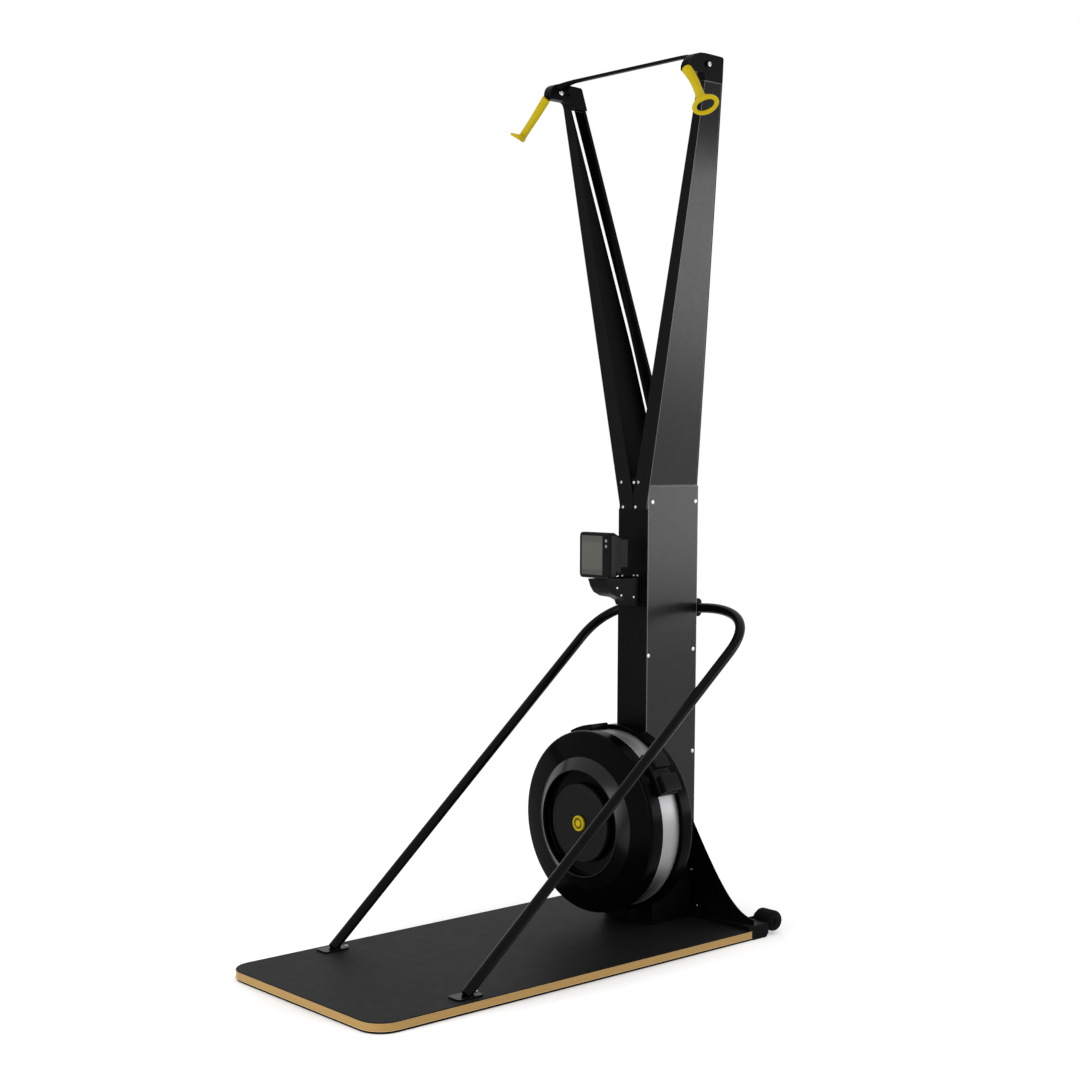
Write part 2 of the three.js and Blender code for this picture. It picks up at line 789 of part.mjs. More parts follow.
// Handle: an oval grip that ends in an oval hand ring square to it
function handle(ring_centre, twistDegrees) {
  const axis = ring_centre.clone().sub(grip_top).normalize();
  const side = new THREE.Vector3().crossVectors(axis, Z).normalize();
  const up = new THREE.Vector3().crossVectors(side, axis).normalize();
  const twist = THREE.MathUtils.degToRad(twistDegrees);
  const long = side.clone().multiplyScalar(Math.cos(twist)).addScaledVector(up, Math.sin(twist));
  const short = new THREE.Vector3().crossVectors(axis, long).normalize();
  const root = ring_centre.clone().addScaledVector(long, grip_ring_offset);
  const steps = 8;
  const sides = 16;
  const rings = [];
  for (let s = 0; s <= steps; s += 1) {
    const t = s / steps;
    const centre = grip_top.clone().lerp(root, t);
    const swell = grip_top_share + (1 - grip_top_share) * Math.sin(Math.min(1, t * 2) * Math.PI / 2);
    const size = s === 0 ? grip_end_share : swell;
    rings.push(Array.from({ length: sides }, (_, i) => {
      const angle = (i / sides) * full_turn;
      return centre.clone()
        .addScaledVector(long, Math.cos(angle) * grip_long_radius * size)
        .addScaledVector(short, Math.sin(angle) * grip_short_radius * size);
    }));
  }
  const grip = lofted(rings);
  const loopPoint = (angle) => ring_centre.clone()
    .addScaledVector(long, Math.cos(angle) * (ring_long_radius - ring_bar_radius))
    .addScaledVector(short, Math.sin(angle) * (ring_short_radius - ring_bar_radius));
  const around = 32;
  const across = 10;
  const corners = [];
  const index = [];
  for (let a = 0; a < around; a += 1) {
    const angle = (a / around) * full_turn;
    const here = loopPoint(angle);
    const outward = here.clone().sub(ring_centre).normalize();
    for (let b = 0; b < across; b += 1) {
      const turn = (b / across) * full_turn;
      const p = here.clone()
        .addScaledVector(outward, Math.cos(turn) * ring_bar_radius)
        .addScaledVector(axis, Math.sin(turn) * ring_bar_radius);
      corners.push(p.x, p.y, p.z);
      const a1 = (a + 1) % around;
      const b1 = (b + 1) % across;
      index.push(a * across + b, a1 * across + b, a1 * across + b1);
      index.push(a * across + b, a1 * across + b1, a * across + b1);
    }
  }
  const geometry = new THREE.BufferGeometry();
  geometry.setAttribute('position', new THREE.BufferAttribute(new Float32Array(corners), 3));
  geometry.setIndex(index);
  return join(outwardSolid(grip), outwardSolid(toSolid(geometry)));
}

function outwardSolid(solid) {
  if (solid.volume() > 0) return solid;
  const geometry = toGeometry(solid);
  const index = geometry.index.array;
  for (let i = 0; i < index.length; i += 3) {
    const swap = index[i + 1];
    index[i + 1] = index[i + 2];
    index[i + 2] = swap;
  }
  return toSolid(geometry);
}

// Handrail: one bent tube, its feet and its clamp on the column

const railCrossY = () => column_rear_y + rail_radius + 2 * seat_gap;
const railFootZ = () => board_top_z + rail_foot_thickness;

function railPoint(side, z) {
  const rise = z - board_top_z;
  return new THREE.Vector3(side * (rail_foot_x + rail_lean_x * rise), rail_foot_y + rail_lean_y * rise, z);
}

function railCurve() {
  const start = board_top_z - 2 * rail_radius;
  const foot = (side) => railPoint(side, start);
  const bend = (side) => railPoint(side, rail_bend_z);
  const along = (side) => bend(side).sub(foot(side)).normalize();
  const lift = (side) => bend(side).addScaledVector(along(side), rail_bend_reach);
  const cross = (side, x) => new THREE.Vector3(side * x, railCrossY(), rail_cross_z);
  const inner = (side) => cross(side, rail_cross_half_length);
  const turn = (side) => cross(side, rail_cross_half_length + rail_bend_end_reach);
  const path = new THREE.CurvePath();
  path.add(new THREE.LineCurve3(foot(-1), bend(-1)));
  path.add(new THREE.CubicBezierCurve3(bend(-1), lift(-1), turn(-1), inner(-1)));
  path.add(new THREE.LineCurve3(inner(-1), inner(1)));
  path.add(new THREE.CubicBezierCurve3(inner(1), turn(1), lift(1), bend(1)));
  path.add(new THREE.LineCurve3(bend(1), foot(1)));
  return path;
}

function railTube(radius) {
  const curves = railCurve().curves;
  const points = [];
  curves.forEach((curve, i) => {
    const steps = curve.type === 'LineCurve3' ? 1 : 14;
    for (let s = 0; s <= steps; s += 1) {
      if (i > 0 && s === 0) continue;
      points.push(curve.getPoint(s / steps));
    }
  });
  const sides = 14;
  let side = X.clone();
  const rings = points.map((point, i) => {
    const before = points[Math.max(0, i - 1)];
    const after = points[Math.min(points.length - 1, i + 1)];
    const tangent = after.clone().sub(before).normalize();
    side = side.clone().addScaledVector(tangent, -side.dot(tangent)).normalize();
    const other = new THREE.Vector3().crossVectors(tangent, side);
    return Array.from({ length: sides }, (_, k) => {
      const angle = (k / sides) * full_turn;
      return point.clone()
        .addScaledVector(side, Math.cos(angle) * radius)
        .addScaledVector(other, Math.sin(angle) * radius);
    });
  });
  return outwardSolid(lofted(rings));
}

function handrail() {
  const tube = cut(railTube(rail_radius), railTube(rail_radius - rail_wall));
  const floor = block(-board_width, board_width, -board_length, 0, -board_width, railFootZ() + seat_gap);
  return cut(tube, floor);
}

function railFoot(side) {
  const c = rail_foot_corner;
  const shape = roundedShape(rail_foot_width / 2, rail_foot_length / 2, [c, c, c, c]);
  const plate = plateXY(shape, board_top_z, rail_foot_thickness, 4);
  const centre = railPoint(side, board_top_z + rail_foot_thickness);
  return plate.translate([centre.x, centre.y, 0]);
}

function railClamp() {
  const y0 = column_rear_y + seat_gap;
  const shape = roundedShape(clamp_depth / 2, clamp_half_height, [clamp_edge, rail_radius, rail_radius, clamp_edge]);
  const body = plateYZ(shape, -clamp_half_width, 2 * clamp_half_width, 4)
    .translate([0, y0 + clamp_depth / 2, rail_cross_z]);
  const bore = rod(rail_radius + seat_gap, new THREE.Vector3(-board_width / 2, railCrossY(), rail_cross_z), X,
    board_width, 28);
  return cut(body, bore);
}

// Flywheel drum

function drumFrontCover() {
  const w = drum_wall;
  const outerR = drum_radius + rim_overhang;
  const rimStart = drum_band_front_y - seat_gap;
  const floorY = drum_crest_y + drum_groove_depth;
  const under = bevel_ring_thickness + 3 * seat_gap;
  const profile = [
    [outerR, rimStart],
    [outerR, drum_rim_y + rim_radius],
    [outerR - rim_radius / 3, drum_rim_y + rim_radius / 3],
    [outerR - rim_radius, drum_rim_y],
    [drum_shoulder_radius + seat_gap, drum_shoulder_y],
    [drum_shoulder_radius + seat_gap, drum_shoulder_y + under],
    [drum_crest_radius, drum_crest_y + under],
    [drum_crest_radius - w, drum_crest_y + under],
    [drum_crest_radius - w, floorY],
    [bearing_radius + seat_gap, floorY],
    [bearing_radius + seat_gap, floorY + bearing_width],
    [bearing_radius + w * 2, floorY + bearing_width],
    [bearing_radius + w * 2, floorY + w],
    [drum_crest_radius, floorY + w],
    [drum_shoulder_radius, drum_shoulder_y + under + w * 2],
    [outerR - rim_radius - w, drum_rim_y + w * 2],
    [drum_radius - w * 2, drum_rim_y + rim_radius + w],
    [drum_radius - w * 2, rimStart],
  ];
  return turned(profile);
}

function bevelRing() {
  const t = bevel_ring_thickness;
  const profile = [
    [drum_shoulder_radius, drum_shoulder_y],
    [drum_crest_radius, drum_crest_y],
    [drum_crest_radius - t, drum_crest_y],
    [drum_crest_radius - t, drum_crest_y + t],
    [drum_crest_radius, drum_crest_y + t],
    [drum_shoulder_radius - t / 2, drum_shoulder_y + t],
  ];
  return turned(profile);
}

function hubDisc() {
  const back = drum_crest_y + drum_groove_depth - disc_floor_gap;
  const r = drum_disc_radius;
  const e = disc_edge_radius;
  const profile = [
    [0, back], [r - e, back], [r, back - e / 2], [r, drum_disc_y + e], [r - e / 3, drum_disc_y + e / 3],
    [r - e, drum_disc_y], [0, drum_disc_y],
  ];
  const disc = turned(profile);
  const stud = rod(bearing_radius - seat_gap, new THREE.Vector3(0, back - overrun, drum_axis_z), Y,
    overrun + disc_floor_gap - seat_gap);
  return join(outwardSolid(disc), stud);
}

function hubBadge() {
  const y = drum_disc_y - seat_gap;
  const profile = [
    [0, y], [badge_radius, y], [badge_radius, y - badge_height + badge_edge],
    [badge_radius - badge_edge, y - badge_height], [0, y - badge_height],
  ];
  return turned(profile, drum_axis_z, 32);
}

function silverBand() {
  const r0 = drum_radius - band_thickness;
  const profile = [
    [r0, drum_band_rear_y], [drum_radius, drum_band_rear_y],
    [drum_radius, drum_band_front_y], [r0, drum_band_front_y],
  ];
  return turned(profile);
}

function rearShell() {
  const w = drum_wall;
  const linerOuter = drum_radius - band_thickness - seat_gap;
  const start = drum_band_rear_y + seat_gap;
  const rearR = drum_radius + rear_overhang;
  const profile = [
    [bearing_radius + seat_gap, drum_rear_y],
    [rearR - rim_radius / 2, drum_rear_y],
    [rearR, drum_rear_y - rim_radius / 2],
    [rearR, start],
    [linerOuter, start],
    [linerOuter, drum_band_front_y],
    [linerOuter - w, drum_band_front_y],
    [linerOuter - w, drum_rear_y - w],
    [bearing_radius + 2 * w, drum_rear_y - w],
    [bearing_radius + 2 * w, drum_rear_y - bearing_width],
    [bearing_radius + seat_gap, drum_rear_y - bearing_width],
  ];
  return turned(profile);
}

function bearing(yStart) {
  const inner = shaft_radius + running_gap / 2;
  const profile = [
    [inner, yStart], [bearing_radius, yStart], [bearing_radius, yStart + bearing_width - seat_gap],
    [inner, yStart + bearing_width - seat_gap],
  ];
  return turned(profile, drum_axis_z, 32);
}

function shaft() {
  return rod(shaft_radius, new THREE.Vector3(0, shaft_front_y, drum_axis_z), Y, shaft_rear_y - shaft_front_y, 24);
}

function fanRotor() {
  const bore = shaft_radius + seat_gap;
  const mid = (fan_front_y + fan_rear_y) / 2;
  const profile = [
    [bore, mid - fan_hub_radius], [fan_hub_radius, mid - fan_hub_radius],
    [fan_hub_radius, mid - fan_disc_thickness / 2], [fan_radius, mid - fan_disc_thickness / 2],
    [fan_radius, mid + fan_disc_thickness / 2], [fan_hub_radius, mid + fan_disc_thickness / 2],
    [fan_hub_radius, mid + fan_hub_radius], [bore, mid + fan_hub_radius],
  ];
  const disc = outwardSolid(turned(profile, 0, 40));
  const shape = shapeOf([
    [fan_blade_inner_radius, mid - fan_disc_thickness], [fan_radius - overrun, fan_front_y],
    [fan_radius - overrun, fan_rear_y], [fan_blade_inner_radius, mid + fan_disc_thickness],
  ]);
  const blade = toSolid(extrude(shape, fan_blade_thickness).translate(0, 0, -fan_blade_thickness / 2));
  const blades = Array.from({ length: fan_blade_count }, (_, i) => blade.rotate([0, (i * 360) / fan_blade_count, 0]));
  return join(disc, ...blades).translate([0, 0, drum_axis_z]);
}

function spool(index) {
  const y0 = spool_front_y + index * spool_spacing;
  const y1 = y0 + spool_width;
  const bore = shaft_radius + running_gap;
  const t = spool_flange_thickness;
  const profile = [
    [bore, y0], [spool_flange_radius, y0], [spool_flange_radius, y0 + t], [spool_radius, y0 + t],
    [spool_radius, y1 - t], [spool_flange_radius, y1 - t], [spool_flange_radius, y1], [bore, y1],
  ];
  return turned(profile, drum_axis_z, 32);
}

// Damper block: a saddle on the band with one fixed block and one lever block

function sector(radiusIn, radiusOut, from, to, steps = 8) {
  const points = [];
  for (let i = 0; i <= steps; i += 1) {
    const a = THREE.MathUtils.degToRad(from + ((to - from) * i) / steps);
    points.push([radiusOut * Math.cos(a), radiusOut * Math.sin(a)]);
  }
  for (let i = steps; i >= 0; i -= 1) {
    const a = THREE.MathUtils.degToRad(from + ((to - from) * i) / steps);
    points.push([radiusIn * Math.cos(a), radiusIn * Math.sin(a)]);
  }
  return shapeOf(points);
}

function damperBlock() {
  const r0 = drum_radius + seat_gap;
  const r1 = r0 + damper_base_height;
  const r2 = r1 + damper_block_height;
  const front = drum_band_front_y + damper_edge_gap;
  const depth = drum_band_rear_y - damper_edge_gap - front;
  const base = plateXZ(sector(r0, r1, damper_low_angle, damper_high_angle), front, depth);
  const upperFrom = damper_low_angle + damper_lever_angle + damper_gap_angle;
  const raised = plateXZ(
    sector(r1 - overrun, r2, upperFrom, damper_high_angle - 1), front + damper_block_inset,
    depth - 2 * damper_block_inset,
  );
  return join(base, raised).translate([0, 0, drum_axis_z]);
}

// The closing block of the band near the top of the drum
function bandClamp() {
  const front = drum_band_front_y + damper_edge_gap;
  const depth = drum_band_rear_y - damper_edge_gap - front;
  const r0 = drum_radius + seat_gap;
  const body = plateXZ(sector(r0, r0 + clamp_height, clamp_low_angle, clamp_high_angle), front, depth);
  return body.translate([0, 0, drum_axis_z]);
}

function damperLever() {
  const r1 = drum_radius + damper_base_height + 2 * seat_gap;
  const r2 = r1 + damper_block_height + overrun;
  const front = drum_band_front_y + damper_edge_gap + damper_block_inset / 2;
  const depth = drum_band_rear_y - damper_edge_gap - damper_block_inset / 2 - front;
  const low = damper_low_angle + 1;
  const body = plateXZ(sector(r1, r2, low, low + damper_lever_angle - 1), front, depth);
  return body.translate([0, 0, drum_axis_z]);
}

// Brackets of the drum

function drumMount() {
  const c = mount_corner;
  const shape = roundedShape(mount_half_width, mount_half_height, [c, c, c, c]);
  const y0 = drum_rear_y + seat_gap;
  const y1 = column_front_y - seat_gap;
  const plate = plateXZ(shape, y0, y1 - y0, 4).translate([0, 0, drum_axis_z]);
  const bore = rod(bearing_radius + seat_gap, new THREE.Vector3(0, y0 - overrun, drum_axis_z), Y, y1 - y0 + 2 * overrun);
  return cut(plate, bore);
}

function drumShelf() {
  const y1 = base_front_y - seat_gap;
  const topZ = board_top_z + base_height - overrun;
  const upright = block(-shelf_half_width, shelf_half_width, y1 - shelf_thickness, y1, shelf_low_z, topZ);
  const web = block(-shelf_half_width, shelf_half_width, y1 - shelf_reach, y1, shelf_low_z, topZ);
  const bed = rod(drum_radius + rear_overhang + seat_gap, new THREE.Vector3(0, y1 - board_length / 2, drum_axis_z), Y,
    board_length, 96);
  return cut(join(upright, web), bed);
}

// Monitor, bracket, screen and buttons

function monitorCase() {
  const halfW = monitor_half_width;
  const halfH = (monitor_high_z - monitor_low_z) / 2;
  const middle = (monitor_high_z + monitor_low_z) / 2;
  const c = monitor_corner;
  const section = (share, y) => {
    const shape = roundedShape(halfW * share, halfH * share, [c, c, c, c]);
    return shape.getPoints(4).slice(0, -1).map((p) => new THREE.Vector3(p.x, y, middle + p.y));
  };
  const frontShare = 1 - monitor_edge / halfH;
  const shell = outwardSolid(lofted([
    section(frontShare, monitor_front_y),
    section(1, monitor_front_y + monitor_edge),
    section(1, monitor_front_y + monitor_straight_depth),
    section(monitor_back_share, monitor_front_y + monitor_depth),
  ]));
  const backY = monitor_front_y + monitor_depth;
  const boss = block(-monitor_boss_half_width, monitor_boss_half_width, backY - overrun,
    backY + monitor_boss_depth, monitor_boss_low_z, monitor_boss_high_z);
  const body = join(shell, boss);
  const screen = block(
    screen_left_x - seat_gap, screen_right_x + seat_gap, monitor_front_y - overrun,
    monitor_front_y + screen_thickness + screen_recess,
    monitor_low_z + screen_margin_z - seat_gap, monitor_high_z - screen_margin_z + seat_gap,
  );
  const bores = buttonHeights().map((z) => rod(button_radius + running_gap,
    new THREE.Vector3(button_x, monitor_front_y - overrun, z), Y, overrun + button_height + button_travel, 20));
  const slot = block(
    -bracket_half_width - seat_gap, bracket_half_width + seat_gap,
    pivotPoint(0).y - pivot_lug_radius - overrun, monitor_front_y + monitor_depth + overrun,
    monitor_low_z - overrun, pivotPoint(0).z + pivot_lug_radius + overrun,
  );
  const pin = rod(pivot_radius + seat_gap, pivotPoint(-monitor_half_width - overrun), X, 2 * (monitor_half_width + overrun), 20);
  return cut(body, screen, ...bores, slot, pin);
}

function pivotPoint(x) {
  const y = monitor_front_y + monitor_straight_depth + pivot_setback;
  return new THREE.Vector3(x, y, monitor_low_z + pivot_lug_radius + pivot_lift);
}

function monitorScreen() {
  const y = monitor_front_y + screen_recess;
  return block(screen_left_x, screen_right_x, y, y + screen_thickness,
    monitor_low_z + screen_margin_z, monitor_high_z - screen_margin_z);
}

function buttonHeights() {
  return Array.from({ length: button_count }, (_, i) => monitor_high_z - button_first_drop - i * button_spacing);
}

function monitorButton(z) {
  return rod(button_radius, new THREE.Vector3(button_x, monitor_front_y - button_travel, z), Y, button_height, 20);
}

// The bracket is a tray: a curved floor with two side cheeks, a back plate and the pivot lugs
function monitorBracket() {
  const plateY = column_front_y - seat_gap;
  const plate = block(-bracket_plate_half_width, bracket_plate_half_width, plateY - bracket_plate_thickness, plateY,
    bracket_plate_z - bracket_plate_half_height, bracket_plate_z + bracket_plate_half_height);
  const pivot = pivotPoint(0);
  const back = [plateY - bracket_plate_thickness / 2, bracket_outline[bracket_outline.length - 1][1] - bracket_thickness];
  const top = bracket_outline[0][1];
  const profile = [...bracket_outline, back, [back[0], top]];
  const outer = outwardSolid(plateYZ(shapeOf(profile), -bracket_half_width, 2 * bracket_half_width));
  const inside = profile.map(([y, z], i) => [
    i === 0 || i === profile.length - 1 ? y + (i === 0 ? bracket_thickness : 0) : y + bracket_thickness / 2,
    z >= top ? z + overrun : z + bracket_thickness,
  ]);
  const inner = outwardSolid(plateYZ(shapeOf(inside), -bracket_half_width + bracket_thickness,
    2 * (bracket_half_width - bracket_thickness)));
  const neck = block(-bracket_half_width / 2, bracket_half_width / 2, pivot.y - bracket_thickness,
    pivot.y + bracket_thickness, bracket_outline[1][1] - bracket_thickness, pivot.z);
  const lug = rod(pivot_lug_radius - seat_gap, new THREE.Vector3(-bracket_half_width / 2, pivot.y, pivot.z), X,
    bracket_half_width, 24);
  const bore = rod(pivot_radius + seat_gap, new THREE.Vector3(-monitor_half_width, pivot.y, pivot.z), X,
    2 * monitor_half_width, 20);
  return cut(join(cut(outer, inner), plate, neck, lug), bore);
}

function monitorPivot() {
  const half = monitor_half_width * monitor_back_share;
  return rod(pivot_radius, pivotPoint(-half), X, 2 * half, 20);
}

// Finishes

const black_coat = { color: 0x16171a, roughness: 0.42, metalness: 0.35 };
const satin_panel = { color: 0x3a3b3e, roughness: 0.4, metalness: 0.4 };
const black_plastic = { color: 0x0e0e10, roughness: 0.45, metalness: 0 };
const yellow_grip = { color: 0xc9ab1c, roughness: 0.5, metalness: 0 };
const plywood = { color: 0xb48a45, roughness: 0.6, metalness: 0 };
const board_film = { color: 0x232426, roughness: 0.7, metalness: 0 };
const rubber = { color: 0x111112, roughness: 0.85, metalness: 0 };
const bright_steel = { color: 0xb9babc, roughness: 0.3, metalness: 1 };
const grey_satin = { color: 0x4b4c4f, roughness: 0.45, metalness: 0.5 };
const screen_glass = { color: 0x4a4d48, roughness: 0.2, metalness: 0 };

const group = new THREE.Group();

function addPiece(name, solid, finish) {
  const geometry = toGeometry(outwardSolid(solid));
  geometry.translate(0, origin_setback, 0);
  geometry.computeVertexNormals();
  const mesh = new THREE.Mesh(geometry, new THREE.MeshStandardMaterial(finish));
  mesh.name = name;
  group.add(mesh);
}

function addPair(name, make, finish) {
  const solid = make();
  addPiece(`${name}_right`, solid, finish);
  addPiece(`${name}_left`, mirrored(solid), finish);
}

addPiece('board_core', boardCore(), plywood);
addPiece('board_skin', boardSkin(), board_film);
for (const [place, pad] of Object.entries(floorPads())) addPiece(`floor_pad_${place}`, pad, rubber);
addPiece('rear_foot', rearFoot(), black_coat);
for (const [name, side] of [['left', -1], ['right', 1]]) {
  addPiece(`wheel_axle_${name}`, wheelAxle(side), bright_steel);
  addPiece(`transport_wheel_${name}`, transportWheel(side), rubber);
  addPiece(`rail_foot_${name}`, railFoot(side), black_coat);
}
addPair('gusset', gusset, black_coat);
addPiece('base_box', baseBox(), black_coat);
addPiece('column_spine', columnSpine(), black_coat);
addPiece('column_cover', columnCover(), black_coat);
addPair('side_panel', sidePanel, satin_panel);
addPiece('root_block', rootBlock(), black_coat);
addPiece('arm_channel_right', armChannel(false), satin_panel);
addPiece('arm_channel_left', mirrored(armChannel(true)), satin_panel);
addPiece('arm_strip_right', armStrip(false), black_coat);
addPiece('arm_strip_left', mirrored(armStrip(true)), black_coat);
addPair('head_shell', headShell, black_coat);
addPair('head_axle', headAxle, bright_steel);
addPair('head_pulley', headPulley, black_plastic);
addPiece('crossbar', crossbar(), black_coat);
addPiece('handle_right', handle(right_ring, right_twist_degrees), yellow_grip);
addPiece('handle_left', mirrored(handle(left_ring, left_twist_degrees)), yellow_grip);
addPiece('handrail', handrail(), black_coat);
addPiece('rail_clamp', railClamp(), black_coat);
addPiece('drum_front_cover', drumFrontCover(), black_plastic);
addPiece('drum_bevel_ring', bevelRing(), grey_satin);
addPiece('drum_hub_disc', hubDisc(), black_plastic);
addPiece('hub_badge', hubBadge(), yellow_grip);
addPiece('drum_band', silverBand(), bright_steel);
addPiece('drum_rear_shell', rearShell(), black_plastic);
addPiece('damper_block', damperBlock(), black_plastic);
addPiece('damper_lever', damperLever(), black_plastic);
addPiece('band_clamp', bandClamp(), black_plastic);
addPiece('drum_mount', drumMount(), black_coat);
addPiece('drum_shelf', drumShelf(), black_coat);
addPiece('front_bearing', bearing(drum_crest_y + drum_groove_depth), bright_steel);
addPiece('rear_bearing', bearing(drum_rear_y - bearing_width), bright_steel);
addPiece('fan_shaft', shaft(), bright_steel);
addPiece('fan_rotor', fanRotor(), black_plastic);
addPiece('spool_left', spool(0), bright_steel);
addPiece('spool_right', spool(1), bright_steel);
addPiece('monitor_case', monitorCase(), black_plastic);
addPiece('monitor_screen', monitorScreen(), screen_glass);
buttonHeights().forEach((z, i) => addPiece(`monitor_button_${i + 1}`, monitorButton(z), black_plastic));
addPiece('monitor_bracket', monitorBracket(), black_coat);
addPiece('monitor_pivot', monitorPivot(), bright_steel);

export default group;
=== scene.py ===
import math

import bmesh
import bpy
from mathutils import Matrix, Vector


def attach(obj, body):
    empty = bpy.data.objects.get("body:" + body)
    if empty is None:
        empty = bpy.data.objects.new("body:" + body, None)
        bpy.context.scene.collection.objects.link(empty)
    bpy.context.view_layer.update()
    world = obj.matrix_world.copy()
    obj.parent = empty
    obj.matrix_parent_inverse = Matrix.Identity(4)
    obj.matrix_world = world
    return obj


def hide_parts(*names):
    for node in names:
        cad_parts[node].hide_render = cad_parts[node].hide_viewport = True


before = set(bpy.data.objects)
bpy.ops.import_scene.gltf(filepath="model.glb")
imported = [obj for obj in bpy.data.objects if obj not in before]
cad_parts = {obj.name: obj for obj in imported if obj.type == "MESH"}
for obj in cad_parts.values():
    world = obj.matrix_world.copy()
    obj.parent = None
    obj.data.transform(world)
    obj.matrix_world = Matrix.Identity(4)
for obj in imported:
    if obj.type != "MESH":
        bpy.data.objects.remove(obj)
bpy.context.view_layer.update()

# Sizes in millimetres, drawn with Y = 0 at the rear edge of the board
SETBACK = 22
AXIS_Z = 304.5
BOARD_HALF_WIDTH = 300
BOARD_HALF_LENGTH = 600
BOARD_FRONT_CORNER = 60
BOARD_REAR_CORNER = 5
CORE_LOW, CORE_TOP, FILM_TOP = 6, 24, 26
FILM_INSET = 1
COLUMN_HALF_WIDTH = 53
COLUMN_FRONT_Y = -151
COLUMN_REAR_Y = 36
BASE_HALF_WIDTH = 90
GUSSET_Y = 14
WHEEL_CENTRE = (268, 93, 34)
WHEEL_RADIUS, WHEEL_BORE, WHEEL_HALF_WIDTH, WHEEL_CROWN = 27, 6.4, 32, 8
HEAD_AXLE_Y, HEAD_AXLE_Z = -168, 2176
ARM_LEAN = 0.1976
SIDES = (("left", -1), ("right", 1))


def at(x, y, z):
    """A drawn point in millimetres as a point of the frame in metres."""
    return Vector((x / 1000, (y + SETBACK) / 1000, z / 1000))


# Camera, solved from the photograph's straight edges; pixels of its square frame, place in metres
PHOTO_SIZE = 1080
FOCAL_PIXELS = 1811.9
CENTRE_X, CENTRE_Y = 539.9, 648.4
SENSOR_WIDTH = 36
CAMERA_PLACE = (3.34715, -3.41504, 1.2446)
YAW, PITCH, ROLL = 48.448, 6.132, 0.199


def make_camera():
    yaw, pitch, roll = (math.radians(v) for v in (YAW, PITCH, ROLL))
    forward = Vector((-math.sin(yaw) * math.cos(pitch), math.cos(yaw) * math.cos(pitch), -math.sin(pitch)))
    right = Vector((math.cos(yaw), math.sin(yaw), 0))
    up = right.cross(forward)
    turned_right = right * math.cos(roll) + up * math.sin(roll)
    turned_up = -right * math.sin(roll) + up * math.cos(roll)
    data = bpy.data.cameras.new("photo_camera")
    data.sensor_width = SENSOR_WIDTH
    data.lens = SENSOR_WIDTH * FOCAL_PIXELS / PHOTO_SIZE
    data.shift_x = (PHOTO_SIZE / 2 - CENTRE_X) / PHOTO_SIZE
    data.shift_y = (CENTRE_Y - PHOTO_SIZE / 2) / PHOTO_SIZE
    data.clip_start, data.clip_end = 0.05, 200
    camera = bpy.data.objects.new("photo_camera", data)
    bpy.context.scene.collection.objects.link(camera)
    rows = [(*row, place) for row, place in zip(zip(turned_right, turned_up, -forward), CAMERA_PLACE)]
    camera.matrix_world = Matrix((*rows, (0, 0, 0, 1)))
    bpy.context.scene.camera = camera


make_camera()
bpy.context.scene.view_settings.view_transform = "Standard"


# Materials
# Cosines between the bevelled and the true normal: the lighter edge tone, wear on most coats and a painted
# highlight on some, is full below the first and gone above the second
NARROW_EDGE = (0.82, 0.98)
# The wide stops carry the painted edge highlights of the side panels and the arms' webs
HIGHLIGHT_EDGE = (0.92, 0.995)
BLACK = (0, 0, 0)


def grey(value):
    return (value, value, value)


def scaled(tone, share, lift=0.0):
    return tuple(v * share + lift for v in tone)


